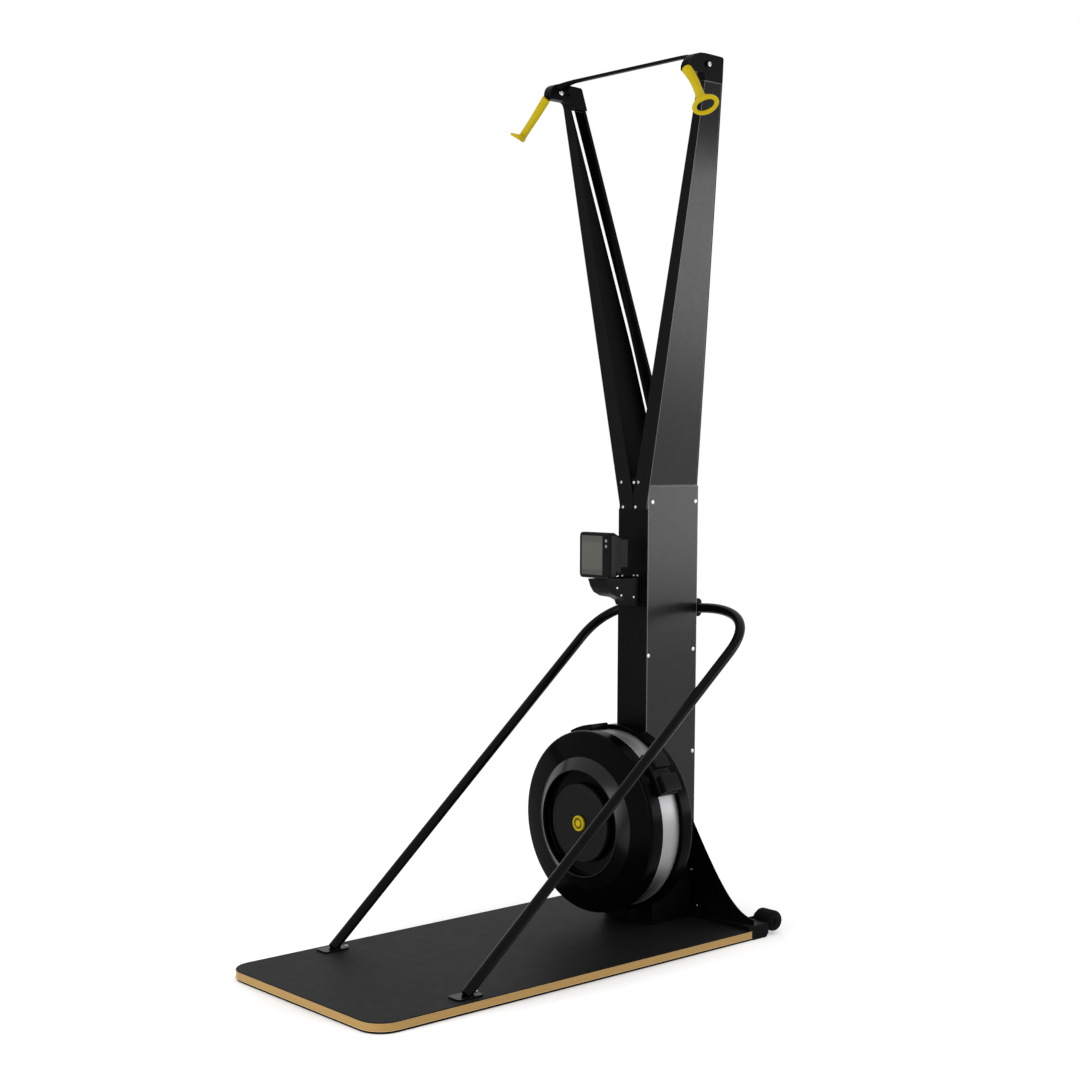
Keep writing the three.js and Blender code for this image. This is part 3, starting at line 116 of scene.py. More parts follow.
class Paint:
    """A node material under construction."""

    def __init__(self, name):
        self.material = bpy.data.materials.new(name)
        self.material.use_nodes = True
        self.tree = self.material.node_tree
        self.shader = self.tree.nodes["Principled BSDF"]
        self.coords = self.tree.nodes.new("ShaderNodeTexCoord").outputs["Object"]

    def node(self, kind, **settings):
        made = self.tree.nodes.new(kind)
        for key, value in settings.items():
            setattr(made, key, value)
        return made

    def link(self, output, socket):
        self.tree.links.new(output, socket)

    def set(self, **values):
        for key, value in values.items():
            self.shader.inputs[key.replace("_", " ")].default_value = value
        return self

    def stretched(self, scale, turn=(0, 0, 0), move=(0, 0, 0)):
        mapping = self.node("ShaderNodeMapping")
        mapping.inputs["Location"].default_value = move
        mapping.inputs["Scale"].default_value = scale
        mapping.inputs["Rotation"].default_value = turn
        self.link(self.coords, mapping.inputs["Vector"])
        return mapping.outputs["Vector"]

    def noise(self, scale, detail=2.0, roughness=0.5, vector=None):
        made = self.node("ShaderNodeTexNoise")
        made.inputs["Scale"].default_value = scale
        made.inputs["Detail"].default_value = detail
        made.inputs["Roughness"].default_value = roughness
        self.link(vector or self.coords, made.inputs["Vector"])
        return made.outputs["Fac"]

    def ramp(self, factor, *stops):
        made = self.node("ShaderNodeValToRGB")
        elements = made.color_ramp.elements
        while len(elements) < len(stops):
            elements.new(0.5)
        for element, (place, colour) in zip(elements, stops):
            element.position = place
            element.color = (*colour, 1)
        self.link(factor, made.inputs["Fac"])
        return made.outputs["Color"]

    def spread(self, factor, low, high):
        made = self.node("ShaderNodeMapRange")
        made.inputs["To Min"].default_value = low
        made.inputs["To Max"].default_value = high
        self.link(factor, made.inputs["Value"])
        return made.outputs["Result"]

    def mix(self, factor, a, b):
        made = self.node("ShaderNodeMix", data_type="RGBA")
        for value, socket in ((factor, made.inputs["Factor"]), (a, made.inputs["A"]), (b, made.inputs["B"])):
            if hasattr(value, "is_linked"):
                self.link(value, socket)
            else:
                socket.default_value = value if isinstance(value, (int, float)) else (*value, 1)
        return made.outputs["Result"]

    def colour(self, output):
        self.link(output, self.shader.inputs["Base Color"])
        return self

    def rough(self, output):
        self.link(output, self.shader.inputs["Roughness"])
        return self

    def bump(self, height, strength, distance):
        made = self.node("ShaderNodeBump")
        made.inputs["Strength"].default_value = strength
        made.inputs["Distance"].default_value = distance
        self.link(height, made.inputs["Height"])
        if self.shader.inputs["Normal"].is_linked:
            self.link(self.shader.inputs["Normal"].links[0].from_socket, made.inputs["Normal"])
        self.link(made.outputs["Normal"], self.shader.inputs["Normal"])
        return self

    def wear_and_highlight(self, base, edge_wear_and_highlight, radius=0.0015, amount=0.6, stops=NARROW_EDGE):
        """A lighter tone along the edges: worn coat where the coat is thin, and on some materials a painted
        highlight along the edge.
        """
        bevel = self.node("ShaderNodeBevel", samples=4)
        bevel.inputs["Radius"].default_value = radius
        geometry = self.node("ShaderNodeNewGeometry")
        dot = self.node("ShaderNodeVectorMath", operation="DOT_PRODUCT")
        self.link(bevel.outputs["Normal"], dot.inputs[0])
        self.link(geometry.outputs["Normal"], dot.inputs[1])
        mask = self.ramp(dot.outputs["Value"], (stops[0], grey(amount)), (stops[1], BLACK))
        return self.mix(mask, base, edge_wear_and_highlight)


def coat(name, tone, rough, specular=0.35, edge_wear_and_highlight=None, edge=0.0015, stops=NARROW_EDGE):
    """Powder coat: a fine orange-peel grain, faint cloudiness and lighter edges, which are wear on most
    coats and a painted highlight on the side panels.
    """
    paint = Paint(name)
    cloudy = paint.ramp(paint.noise(7, 4, 0.6), (0.3, scaled(tone, 0.82)), (0.7, scaled(tone, 1.18)))
    fine = paint.noise(900, 2, 0.5)
    speckled = paint.mix(paint.spread(fine, 0, 0.5), cloudy, scaled(tone, 1.35, 0.001))
    paint.colour(paint.wear_and_highlight(speckled, edge_wear_and_highlight or scaled(tone, 3, 0.02), edge, 0.6, stops))
    paint.rough(paint.spread(paint.noise(60, 3, 0.6), rough - 0.05, rough + 0.06))
    paint.set(Specular_IOR_Level=specular, Metallic=0.0)
    return paint.bump(fine, 0.12, 0.0002).material


def moulded(name, tone, rough, specular=0.4, edge_wear_and_highlight=None):
    """Moulded plastic: a spark-eroded grain with soft blotches."""
    paint = Paint(name)
    base = paint.ramp(paint.noise(18, 4, 0.65), (0.3, scaled(tone, 0.85)), (0.7, scaled(tone, 1.15)))
    paint.colour(paint.wear_and_highlight(base, edge_wear_and_highlight or scaled(tone, 2.2, 0.012), 0.001, 0.5))
    paint.rough(paint.spread(paint.noise(120, 4, 0.7), rough - 0.07, rough + 0.07))
    paint.set(Specular_IOR_Level=specular)
    return paint.bump(paint.noise(1500, 3, 0.6), 0.18, 0.00015).material


def brushed(name, tone, rough, stretch):
    """Brushed metal: long fine scratches along one direction of the drawn space."""
    paint = Paint(name)
    lines = paint.noise(1, 6, 0.75, paint.stretched(stretch))
    broad = paint.noise(1, 3, 0.6, paint.stretched(scaled(stretch, 0.12)))
    base = paint.ramp(lines, (0.25, scaled(tone, 0.7)), (0.75, tone))
    paint.colour(paint.mix(paint.spread(broad, 0, 0.35), base, scaled(tone, 0.6)))
    paint.rough(paint.spread(lines, rough - 0.08, rough + 0.12))
    paint.set(Metallic=1.0)
    return paint.bump(lines, 0.25, 0.0002).material


def make_band_metal():
    """The drum's band: brushed round the drum, so the streaks follow the circumference."""
    paint = Paint("band_metal")
    split = paint.node("ShaderNodeSeparateXYZ")
    paint.link(paint.coords, split.inputs["Vector"])
    height = paint.node("ShaderNodeMath", operation="SUBTRACT")
    height.inputs[1].default_value = AXIS_Z / 1000
    paint.link(split.outputs["Z"], height.inputs[0])
    angle = paint.node("ShaderNodeMath", operation="ARCTAN2")
    paint.link(height.outputs["Value"], angle.inputs[0])
    paint.link(split.outputs["X"], angle.inputs[1])
    joined = paint.node("ShaderNodeCombineXYZ")
    paint.link(angle.outputs["Value"], joined.inputs["X"])
    paint.link(split.outputs["Y"], joined.inputs["Y"])
    scaled = paint.node("ShaderNodeMapping")
    scaled.inputs["Scale"].default_value = (3.0, 1400, 1)
    paint.link(joined.outputs["Vector"], scaled.inputs["Vector"])
    lines = paint.noise(1, 6, 0.8, scaled.outputs["Vector"])
    cloud = paint.noise(14, 3, 0.5)
    base = paint.ramp(lines, (0.25, (0.24, 0.24, 0.245)), (0.75, (0.42, 0.42, 0.425)))
    paint.colour(paint.mix(paint.spread(cloud, 0, 0.3), base, (0.2, 0.2, 0.205)))
    paint.rough(paint.spread(lines, 0.42, 0.58))
    paint.set(Metallic=1.0, Anisotropic=0.5)
    return paint.bump(lines, 0.2, 0.0001).material


PLY_PITCH = 0.0036


def make_plywood():
    """The board's cut edge: birch plies with end grain flecks under clear lacquer."""
    paint = Paint("plywood")
    split = paint.node("ShaderNodeSeparateXYZ")
    paint.link(paint.coords, split.inputs["Vector"])
    waviness = paint.spread(paint.noise(9, 3, 0.6), -0.0004, 0.0004)
    level = paint.node("ShaderNodeMath", operation="ADD")
    paint.link(split.outputs["Z"], level.inputs[0])
    paint.link(waviness, level.inputs[1])
    phase = paint.node("ShaderNodeMath", operation="MULTIPLY")
    phase.inputs[1].default_value = 2 * math.pi / PLY_PITCH
    paint.link(level.outputs["Value"], phase.inputs[0])
    wave = paint.node("ShaderNodeMath", operation="SINE")
    paint.link(phase.outputs["Value"], wave.inputs[0])
    band = paint.node("ShaderNodeMapRange")
    band.inputs["From Min"].default_value = -1
    paint.link(wave.outputs["Value"], band.inputs["Value"])
    plies = paint.ramp(
        band.outputs["Result"], (0.2, (0.37, 0.215, 0.055)), (0.5, (0.41, 0.245, 0.068)),
        (0.85, (0.45, 0.275, 0.082)),
    )
    streaks = paint.noise(1, 5, 0.7, paint.stretched((14, 14, 900)))
    grained = paint.mix(paint.spread(streaks, 0, 0.55), plies, (0.34, 0.19, 0.045))
    fleck = paint.ramp(paint.noise(420, 2, 0.5), (0.60, BLACK), (0.72, grey(0.35)))
    flecked = paint.mix(fleck, grained, (0.30, 0.15, 0.03))
    paint.colour(paint.wear_and_highlight(flecked, (0.80, 0.60, 0.30), 0.0016, 0.9))
    paint.rough(paint.spread(streaks, 0.42, 0.62))
    paint.set(Specular_IOR_Level=0.35, Coat_Weight=0.15, Coat_Roughness=0.3)
    return paint.bump(streaks, 0.15, 0.0002).material


def make_board_film():
    """The anti-slip film: a fine pebbled press pattern on charcoal phenolic."""
    paint = Paint("board_film")
    cells = paint.node("ShaderNodeTexVoronoi", feature="SMOOTH_F1")
    cells.inputs["Scale"].default_value = 520
    paint.link(paint.coords, cells.inputs["Vector"])
    cloudy = paint.ramp(
        paint.noise(2.6, 4, 0.6), (0.3, (0.0050, 0.0051, 0.0053)), (0.7, (0.0075, 0.0077, 0.0079)),
    )
    pebbled = paint.mix(paint.spread(cells.outputs["Distance"], 0, 0.5), cloudy, (0.011, 0.0111, 0.0114))
    streaks = paint.noise(1, 5, 0.75, paint.stretched((40, 9, 40), (0, 0, 0.5)))
    scuffs = paint.ramp(streaks, (0.66, BLACK), (0.80, grey(0.25)))
    paint.colour(paint.mix(scuffs, pebbled, (0.016, 0.016, 0.0165)))
    paint.rough(paint.spread(paint.noise(30, 4, 0.7), 0.46, 0.58))
    paint.set(Specular_IOR_Level=0.05)
    return paint.bump(cells.outputs["Distance"], 0.35, 0.0004).material


def make_rubber():
    """The rollers and floor strips: black rubber with a little dust."""
    paint = Paint("rubber")
    base = paint.ramp(
        paint.noise(40, 4, 0.7), (0.3, (0.0022, 0.0022, 0.0024)), (0.7, (0.0038, 0.0038, 0.0040)),
    )
    dust = paint.ramp(paint.noise(12, 5, 0.7), (0.55, BLACK), (0.8, grey(0.3)))
    paint.colour(paint.mix(dust, base, grey(0.010)))
    paint.rough(paint.spread(paint.noise(300, 3, 0.6), 0.6, 0.8))
    paint.set(Specular_IOR_Level=0.06)
    return paint.bump(paint.noise(900, 3, 0.6), 0.3, 0.0003).material


def make_yellow():
    """The grips and the badge: yellow plastic with grime in its grain."""
    paint = Paint("yellow_grip")
    base = paint.ramp(paint.noise(25, 4, 0.6), (0.3, (0.49, 0.365, 0.002)), (0.7, (0.545, 0.41, 0.003)))
    grime = paint.ramp(paint.noise(60, 5, 0.75), (0.58, BLACK), (0.78, grey(0.35)))
    paint.colour(paint.mix(grime, base, (0.34, 0.22, 0.003)))
    paint.rough(paint.spread(paint.noise(150, 3, 0.6), 0.38, 0.52))
    paint.set(Specular_IOR_Level=0.1, Subsurface_Weight=0.0)
    return paint.bump(paint.noise(1100, 3, 0.6), 0.2, 0.0002).material


# Heights in metres between which the arms' coat turns matt, and a painted shade darkens it to black towards
# the heads
FADE_LOW, FADE_HIGH = 1.90, 2.09


def make_arm_coat():
    """The arms' outer webs: satin powder coat that turns matt towards the heads, where a painted shade
    darkens it to black; its edges carry a painted highlight.
    """
    paint = Paint("arm_coat")
    split = paint.node("ShaderNodeSeparateXYZ")
    paint.link(paint.coords, split.inputs["Vector"])
    rise = paint.node("ShaderNodeMapRange", interpolation_type="SMOOTHSTEP")
    rise.inputs["From Min"].default_value = FADE_LOW
    rise.inputs["From Max"].default_value = FADE_HIGH
    paint.link(split.outputs["Z"], rise.inputs["Value"])
    cloudy = paint.ramp(
        paint.noise(7, 4, 0.6), (0.3, (0.0046, 0.0047, 0.0050)), (0.7, (0.0066, 0.0068, 0.0072)),
    )
    fine = paint.noise(900, 2, 0.5)
    speckled = paint.mix(paint.spread(fine, 0, 0.5), cloudy, (0.0085, 0.0087, 0.0092))
    # painted shade: the base colour darkens to near black with height, towards the heads
    darker = paint.mix(rise.outputs["Result"], speckled, (0.0014, 0.0014, 0.0016))
    # painted highlight: a light grey line along the web's edges, far lighter than the coat
    paint.colour(paint.wear_and_highlight(darker, (0.24, 0.24, 0.245), 0.0042, 0.8, HIGHLIGHT_EDGE))
    gloss = paint.spread(paint.noise(60, 3, 0.6), 0.21, 0.31)
    matt = paint.node("ShaderNodeMath", operation="MULTIPLY_ADD")
    matt.inputs[1].default_value = 0.45
    paint.link(rise.outputs["Result"], matt.inputs[0])
    paint.link(gloss, matt.inputs[2])
    paint.rough(matt.outputs["Value"])
    paint.set(Specular_IOR_Level=0.22)
    return paint.bump(fine, 0.12, 0.0002).material


def make_badge_groove():
    """The sunk ring of the badge: a darker ochre, a painted shade in the recess."""
    paint = Paint("badge_groove_shade")
    base = paint.ramp(paint.noise(120, 4, 0.7), (0.3, (0.10, 0.07, 0.003)), (0.7, (0.20, 0.14, 0.004)))
    paint.colour(base)
    paint.rough(paint.spread(paint.noise(200, 3, 0.6), 0.5, 0.65))
    paint.set(Specular_IOR_Level=0.1)
    return paint.bump(paint.noise(900, 3, 0.6), 0.2, 0.0002).material


# The display's lower and upper edge in metres
SCREEN_LOW, SCREEN_HIGH = 0.939, 1.039


def make_screen():
    """The liquid crystal field: olive grey, with darker strips along its top and bottom."""
    paint = Paint("screen_face")
    split = paint.node("ShaderNodeSeparateXYZ")
    paint.link(paint.coords, split.inputs["Vector"])
    rise = paint.node("ShaderNodeMapRange")
    rise.inputs["From Min"].default_value = SCREEN_LOW
    rise.inputs["From Max"].default_value = SCREEN_HIGH
    paint.link(split.outputs["Z"], rise.inputs["Value"])
    tone = paint.ramp(
        rise.outputs["Result"], (0.0, (0.020, 0.021, 0.017)), (0.13, (0.032, 0.033, 0.027)),
        (0.16, (0.050, 0.052, 0.041)), (0.80, (0.058, 0.060, 0.047)), (0.84, (0.04, 0.041, 0.034)),
        (1.0, (0.03, 0.031, 0.026)),
    )
    pixels = paint.node("ShaderNodeTexVoronoi", feature="F1", distance="CHEBYCHEV")
    pixels.inputs["Scale"].default_value = 1200
    pixels.inputs["Randomness"].default_value = 0
    paint.link(paint.coords, pixels.inputs["Vector"])
    gridded = paint.mix(paint.spread(pixels.outputs["Distance"], 0, 0.25), tone, (0.05, 0.052, 0.04))
    paint.colour(gridded)
    paint.rough(paint.spread(paint.noise(90, 2, 0.5), 0.16, 0.24))
    paint.set(Specular_IOR_Level=0.4, Coat_Weight=0.3, Coat_Roughness=0.08)
    return paint.bump(paint.noise(40, 2, 0.5), 0.02, 0.0001).material


def make_grey_satin():
    """The bevel ring: dark satin, with fine turning lines round the axis and a painted highlight along its
    edges.
    """
    paint = Paint("grey_satin")
    split = paint.node("ShaderNodeSeparateXYZ")
    paint.link(paint.coords, split.inputs["Vector"])
    height = paint.node("ShaderNodeMath", operation="SUBTRACT")
    height.inputs[1].default_value = AXIS_Z / 1000
    paint.link(split.outputs["Z"], height.inputs[0])
    flat = paint.node("ShaderNodeCombineXYZ")
    paint.link(split.outputs["X"], flat.inputs["X"])
    paint.link(height.outputs["Value"], flat.inputs["Y"])
    radius = paint.node("ShaderNodeVectorMath", operation="LENGTH")
    paint.link(flat.outputs["Vector"], radius.inputs[0])
    rings = paint.node("ShaderNodeTexNoise", noise_dimensions="1D")
    rings.inputs["Scale"].default_value = 900
    rings.inputs["Detail"].default_value = 4
    paint.link(radius.outputs["Value"], rings.inputs["W"])
    base = paint.ramp(rings.outputs["Fac"], (0.3, (0.0022, 0.0022, 0.0024)), (0.7, (0.0036, 0.0036, 0.0038)))
    cloud = paint.mix(paint.spread(paint.noise(22, 4, 0.6), 0, 0.3), base, (0.0018, 0.0018, 0.0019))
    # painted highlight: thin light lines along the ring's edges
    paint.colour(paint.wear_and_highlight(cloud, (0.10, 0.10, 0.10), 0.0008, 0.7))
    paint.rough(paint.spread(rings.outputs["Fac"], 0.18, 0.26))
    paint.set(Metallic=0.0, Specular_IOR_Level=0.24)
    return paint.bump(rings.outputs["Fac"], 0.2, 0.0001).material


black_coat = coat("black_coat", (0.0018, 0.0018, 0.0020), 0.36, 0.035, edge_wear_and_highlight=(0.035, 0.035, 0.037))
# The side panels' edge tone is a painted highlight: a light grey line along their edges, far lighter than
# the coat
panel_coat = coat(
    "panel_coat", (0.0040, 0.0041, 0.0044), 0.24, 0.20, (0.42, 0.42, 0.425), edge=0.0045, stops=HIGHLIGHT_EDGE,
)
arm_coat = make_arm_coat()
# A darker, duller copy of the arms' coat: painted shade for the front and inner faces, which face away from
# the lamp
arm_painted_shade_coat = coat("arm_painted_shade_coat", (0.0026, 0.0026, 0.0028), 0.48, 0.05, edge_wear_and_highlight=(0.05, 0.05, 0.052))
rail_coat = coat("rail_coat", (0.0016, 0.0016, 0.0018), 0.20, 0.07, edge_wear_and_highlight=(0.03, 0.03, 0.032))
# The drum plastic's lighter edge tone is a painted highlight: thin light lines along the steps of the face
drum_plastic = moulded("drum_plastic", (0.0010, 0.0010, 0.0011), 0.22, 0.03, edge_wear_and_highlight=(0.022, 0.022, 0.023))
disc_plastic = moulded("disc_plastic", (0.0050, 0.0050, 0.0053), 0.42, 0.07, edge_wear_and_highlight=(0.05, 0.05, 0.052))
damper_plastic = moulded("damper_plastic", (0.003, 0.003, 0.0032), 0.30, 0.08)
case_plastic = moulded("case_plastic", (0.0030, 0.0030, 0.0032), 0.34, 0.06)
key_plastic = moulded("key_plastic", (0.22, 0.22, 0.225), 0.4, 0.3)
steel = brushed("screw_steel", (0.72, 0.72, 0.73), 0.25, (300, 300, 300))
dark_steel = brushed("dark_steel", (0.30, 0.30, 0.31), 0.35, (60, 60, 900))
band_metal = make_band_metal()
plywood = make_plywood()
board_film = make_board_film()
rubber = make_rubber()
yellow = make_yellow()
badge_groove_shade = make_badge_groove()
screen_face = make_screen()
grey_satin = make_grey_satin()


# Mesh helpers
def mesh_object(name, corners, faces):
    data = bpy.data.meshes.new(name)
    data.from_pydata([tuple(c) for c in corners], [], faces)
    data.validate()
    obj = bpy.data.objects.new(name, data)
    bpy.context.scene.collection.objects.link(obj)
    return obj


def tidy_normals(obj):
    work = bmesh.new()
    work.from_mesh(obj.data)
    bmesh.ops.remove_doubles(work, verts=work.verts, dist=2e-6)
    bmesh.ops.recalc_face_normals(work, faces=work.faces)
    work.to_mesh(obj.data)
    work.free()


def smooth(obj, angle=35):
    obj.data.shade_smooth()
    obj.data.set_sharp_from_angle(angle=math.radians(angle))


def soften(obj, width, segments=2, angle=28):
    """Rounds every edge sharper than the angle; the flats keep their own shading."""
    work = bmesh.new()
    work.from_mesh(obj.data)
    bmesh.ops.remove_doubles(work, verts=work.verts, dist=4e-6)
    bmesh.ops.dissolve_limit(work, angle_limit=math.radians(1.0), verts=work.verts, edges=work.edges)
    sharp = [e for e in work.edges if len(e.link_faces) == 2 and e.calc_face_angle(0) > math.radians(angle)]
    bmesh.ops.bevel(
        work, geom=sharp, offset=width, offset_type="OFFSET", segments=segments, profile=0.5,
        affect="EDGES", clamp_overlap=True, miter_outer="ARC", harden_normals=False,
    )
    bmesh.ops.recalc_face_normals(work, faces=work.faces)
    work.to_mesh(obj.data)
    work.free()
    obj.data.shade_smooth()
    weighted = obj.modifiers.new("weighted", "WEIGHTED_NORMAL")
    weighted.mode = "FACE_AREA"
    weighted.weight = 80
    return obj


def dress(obj, body, material, nodes=()):
    obj.data.materials.clear()
    obj.data.materials.append(material)
    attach(obj, body)
    if nodes:
        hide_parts(*nodes)
    return obj


def remade(name, node, body, material, width=0.001, segments=2, angle=28):
    """The CAD node's own shape with its edges rounded."""
    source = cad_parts[node]
    data = source.data.copy()
    if "custom_normal" in data.attributes:
        data.attributes.remove(data.attributes["custom_normal"])
    data.name = name
    obj = bpy.data.objects.new(name, data)
    bpy.context.scene.collection.objects.link(obj)
    soften(obj, width, segments, angle)
    return dress(obj, body, material, (node,))


def rounded_profile(points, radii, steps=5):
    """A closed outline with each corner replaced by a curve of about that radius."""
    made = []
    count = len(points)
    for i, point in enumerate(points):
        radius = radii[i] if i < len(radii) else 0
        before, after = points[i - 1], points[(i + 1) % count]
        here = Vector(point)
        back, ahead = Vector(before) - here, Vector(after) - here
        if radius <= 0 or back.length < 1e-9 or ahead.length < 1e-9:
            made.append(here)
            continue
        reach = min(radius, back.length * 0.48, ahead.length * 0.48)
        start, end = here + back.normalized() * reach, here + ahead.normalized() * reach
        for s in range(steps + 1):
            t = s / steps
            made.append(start * (1 - t) ** 2 + here * 2 * t * (1 - t) + end * t ** 2)
    return made


def lathe(name, points, radii, centre=(0, 0, AXIS_Z), axis="y", segments=160, steps=4):
    """Turns an outline of (radius, place along the axis) round the axis."""
    outline = rounded_profile([Vector((r, y)) for r, y in points], radii, steps)
    corners, faces = [], []
    count = len(outline)
    for k in range(segments):
        a = 2 * math.pi * k / segments
        for p in outline:
            radius, along = max(p.x, 0), p.y
            u, v = radius * math.cos(a), radius * math.sin(a)
            if axis == "y":
                corners.append(at(centre[0] + u, centre[1] + along, centre[2] + v))
            else:
                corners.append(at(centre[0] + along, centre[1] + u, centre[2] + v))
    for k in range(segments):
        k1 = (k + 1) % segments
        for i in range(count):
            j = (i + 1) % count
            faces.append((k * count + i, k * count + j, k1 * count + j, k1 * count + i))
    obj = mesh_object(name, corners, faces)
    tidy_normals(obj)
    smooth(obj, 32)
    return obj


def plate(name, outline, low, high, plane, width=0.001, segments=2):
    """A flat plate: its outline in millimetres in the plane, from low to high along the third axis."""
    place = {
        "xy": lambda u, v, w: at(u, v, w),
        "xz": lambda u, v, w: at(u, w, v),
        "yz": lambda u, v, w: at(w, u, v),
    }[plane]
    count = len(outline)
    corners = [place(u, v, low) for u, v in outline] + [place(u, v, high) for u, v in outline]
    faces = [tuple(range(count)), tuple(range(2 * count - 1, count - 1, -1))]
    faces += [(i, (i + 1) % count, count + (i + 1) % count, count + i) for i in range(count)]
    obj = mesh_object(name, corners, faces)
    soften(obj, width, segments)
    return obj


def tube(name, points, radius, sides):
    """A round tube along points in millimetres."""
    centres = [at(*p) for p in points]
    side = Vector((1, 0, 0))
    corners, faces = [], []
    for i, centre in enumerate(centres):
        tangent = (centres[min(i + 1, len(centres) - 1)] - centres[max(i - 1, 0)]).normalized()
        side = (side - tangent * side.dot(tangent)).normalized()
        other = tangent.cross(side)
        for k in range(sides):
            a = 2 * math.pi * k / sides
            corners.append(centre + (side * math.cos(a) + other * math.sin(a)) * radius / 1000)
    for i in range(len(centres) - 1):
        for k in range(sides):
            k1 = (k + 1) % sides
            faces.append((i * sides + k, i * sides + k1, (i + 1) * sides + k1, (i + 1) * sides + k))
    last = (len(centres) - 1) * sides
    faces.append(tuple(range(sides)))
    faces.append(tuple(range(last, last + sides)))
    obj = mesh_object(name, corners, faces)
    tidy_normals(obj)
    smooth(obj, 40)
    return obj


def rounded_rectangle(half_u, half_v, radii, steps=12, centre=(0, 0)):
    """Corners in the order -v left, -v right, +v right, +v left."""
    made = []
    places = [(-1, -1, math.pi), (1, -1, 1.5 * math.pi), (1, 1, 0), (-1, 1, 0.5 * math.pi)]
    for (su, sv, start), radius in zip(places, radii):
        for s in range(steps + 1):
            a = start + (math.pi / 2) * s / steps
            made.append((
                centre[0] + su * (half_u - radius) + radius * math.cos(a),
                centre[1] + sv * (half_v - radius) + radius * math.sin(a),
            ))
    return made


# Standing board
def board_outline(inset):
    front, rear = BOARD_FRONT_CORNER - inset, BOARD_REAR_CORNER - inset
    return rounded_rectangle(
        BOARD_HALF_WIDTH - inset, BOARD_HALF_LENGTH - inset, (front, front, rear, rear), 24,
        (0, -BOARD_HALF_LENGTH),
    )


core = plate("board_plywood", board_outline(0), CORE_LOW, CORE_TOP, "xy", 0.0012, 3)
dress(core, "frame", plywood, ("board_core",))
film = plate("board_film_sheet", board_outline(FILM_INSET), CORE_TOP, FILM_TOP, "xy", 0.0006, 2)
dress(film, "frame", board_film, ("board_skin",))
for pad in ("front", "rear", "left", "right"):
    remade(f"foot_strip_{pad}", f"floor_pad_{pad}", "frame", rubber, 0.0008)

# Rear foot, wheels and gussets
remade("rear_foot_bar", "rear_foot", "frame", black_coat, 0.0016, 3)
wheel_face = WHEEL_RADIUS - WHEEL_CROWN
wheel_tread = WHEEL_HALF_WIDTH - WHEEL_CROWN
wheel_outline = [
    (WHEEL_BORE, -WHEEL_HALF_WIDTH), (wheel_face, -WHEEL_HALF_WIDTH), (WHEEL_RADIUS, -wheel_tread),
    (WHEEL_RADIUS, wheel_tread), (wheel_face, WHEEL_HALF_WIDTH), (WHEEL_BORE, WHEEL_HALF_WIDTH),
]
for side, sign in SIDES:
    x, y, z = WHEEL_CENTRE
    wheel = lathe(f"roller_{side}", wheel_outline, (0.5, 7, 9, 9, 7, 0.5), (sign * x, y, z), "x", 96)
    dress(wheel, f"wheel_{side}", rubber, (f"transport_wheel_{side}",))
    remade(f"roller_bolt_{side}", f"wheel_axle_{side}", "frame", black_coat, 0.0006)
    remade(f"flared_gusset_{side}", f"gusset_{side}", "frame", black_coat, 0.0006)
    remade(f"rail_plate_{side}", f"rail_foot_{side}", "frame", rail_coat, 0.0008)
remade("column_foot_box", "base_box", "frame", black_coat, 0.0012)


def faced(obj, material, chosen):
    """Gives the faces that the test picks a second coat."""
    obj.data.materials.append(material)
    for face in obj.data.polygons:
        if chosen(face.normal):
            face.material_index = 1


# Column and arms
remade("column_rear_channel", "column_spine", "frame", black_coat, 0.0012)
remade("column_front_skin", "column_cover", "frame", black_coat, 0.001)
remade("root_plate_block", "root_block", "frame", black_coat, 0.001)
for side, sign in SIDES:
    remade(f"column_panel_{side}", f"side_panel_{side}", "frame", panel_coat, 0.0005)
    # The outward faces keep arm_coat; the front and inner faces get the darker copy, a painted shade
    arm = remade(f"arm_{side}", f"arm_channel_{side}", "frame", arm_painted_shade_coat, 0.0012, 3)
    faced(arm, arm_coat, lambda normal: normal.x * sign > 0.5)
    remade(f"arm_rear_strip_{side}", f"arm_strip_{side}", "frame", black_coat, 0.0008)
    remade(f"head_{side}", f"head_shell_{side}", "frame", black_coat, 0.0009, 3)
    remade(f"head_bolt_{side}", f"head_axle_{side}", "frame", black_coat, 0.0005)
remade("head_crossbar", "crossbar", "frame", black_coat, 0.0008)


# Handrail: two straight legs that lean back and outwards, and a bend to the crosspiece behind the column
RAIL_RADIUS = 13
RAIL_FOOT = (259, -925)
RAIL_LEAN_X, RAIL_LEAN_Y = 0.0168, 1.177
RAIL_LOW_Z, RAIL_BEND_Z, RAIL_CROSS_Z = 30.5, 746, 841
RAIL_CROSS_HALF, RAIL_CROSS_PULL = 62, 8
RAIL_BEND_PULL = 176
RAIL_GAP = 0.6


def rail_point(side, z):
    rise = z - FILM_TOP
    x, y = RAIL_FOOT
    return Vector((side * (x + RAIL_LEAN_X * rise), y + RAIL_LEAN_Y * rise, z))


def cubic(a, b, c, d, steps):
    """Points on the Bezier curve from a to d, pulled towards b and c."""
    made = []
    for s in range(steps + 1):
        t = s / steps
        u = 1 - t
        made.append(a * u ** 3 + b * 3 * t * u ** 2 + c * 3 * t * t * u + d * t ** 3)
    return made


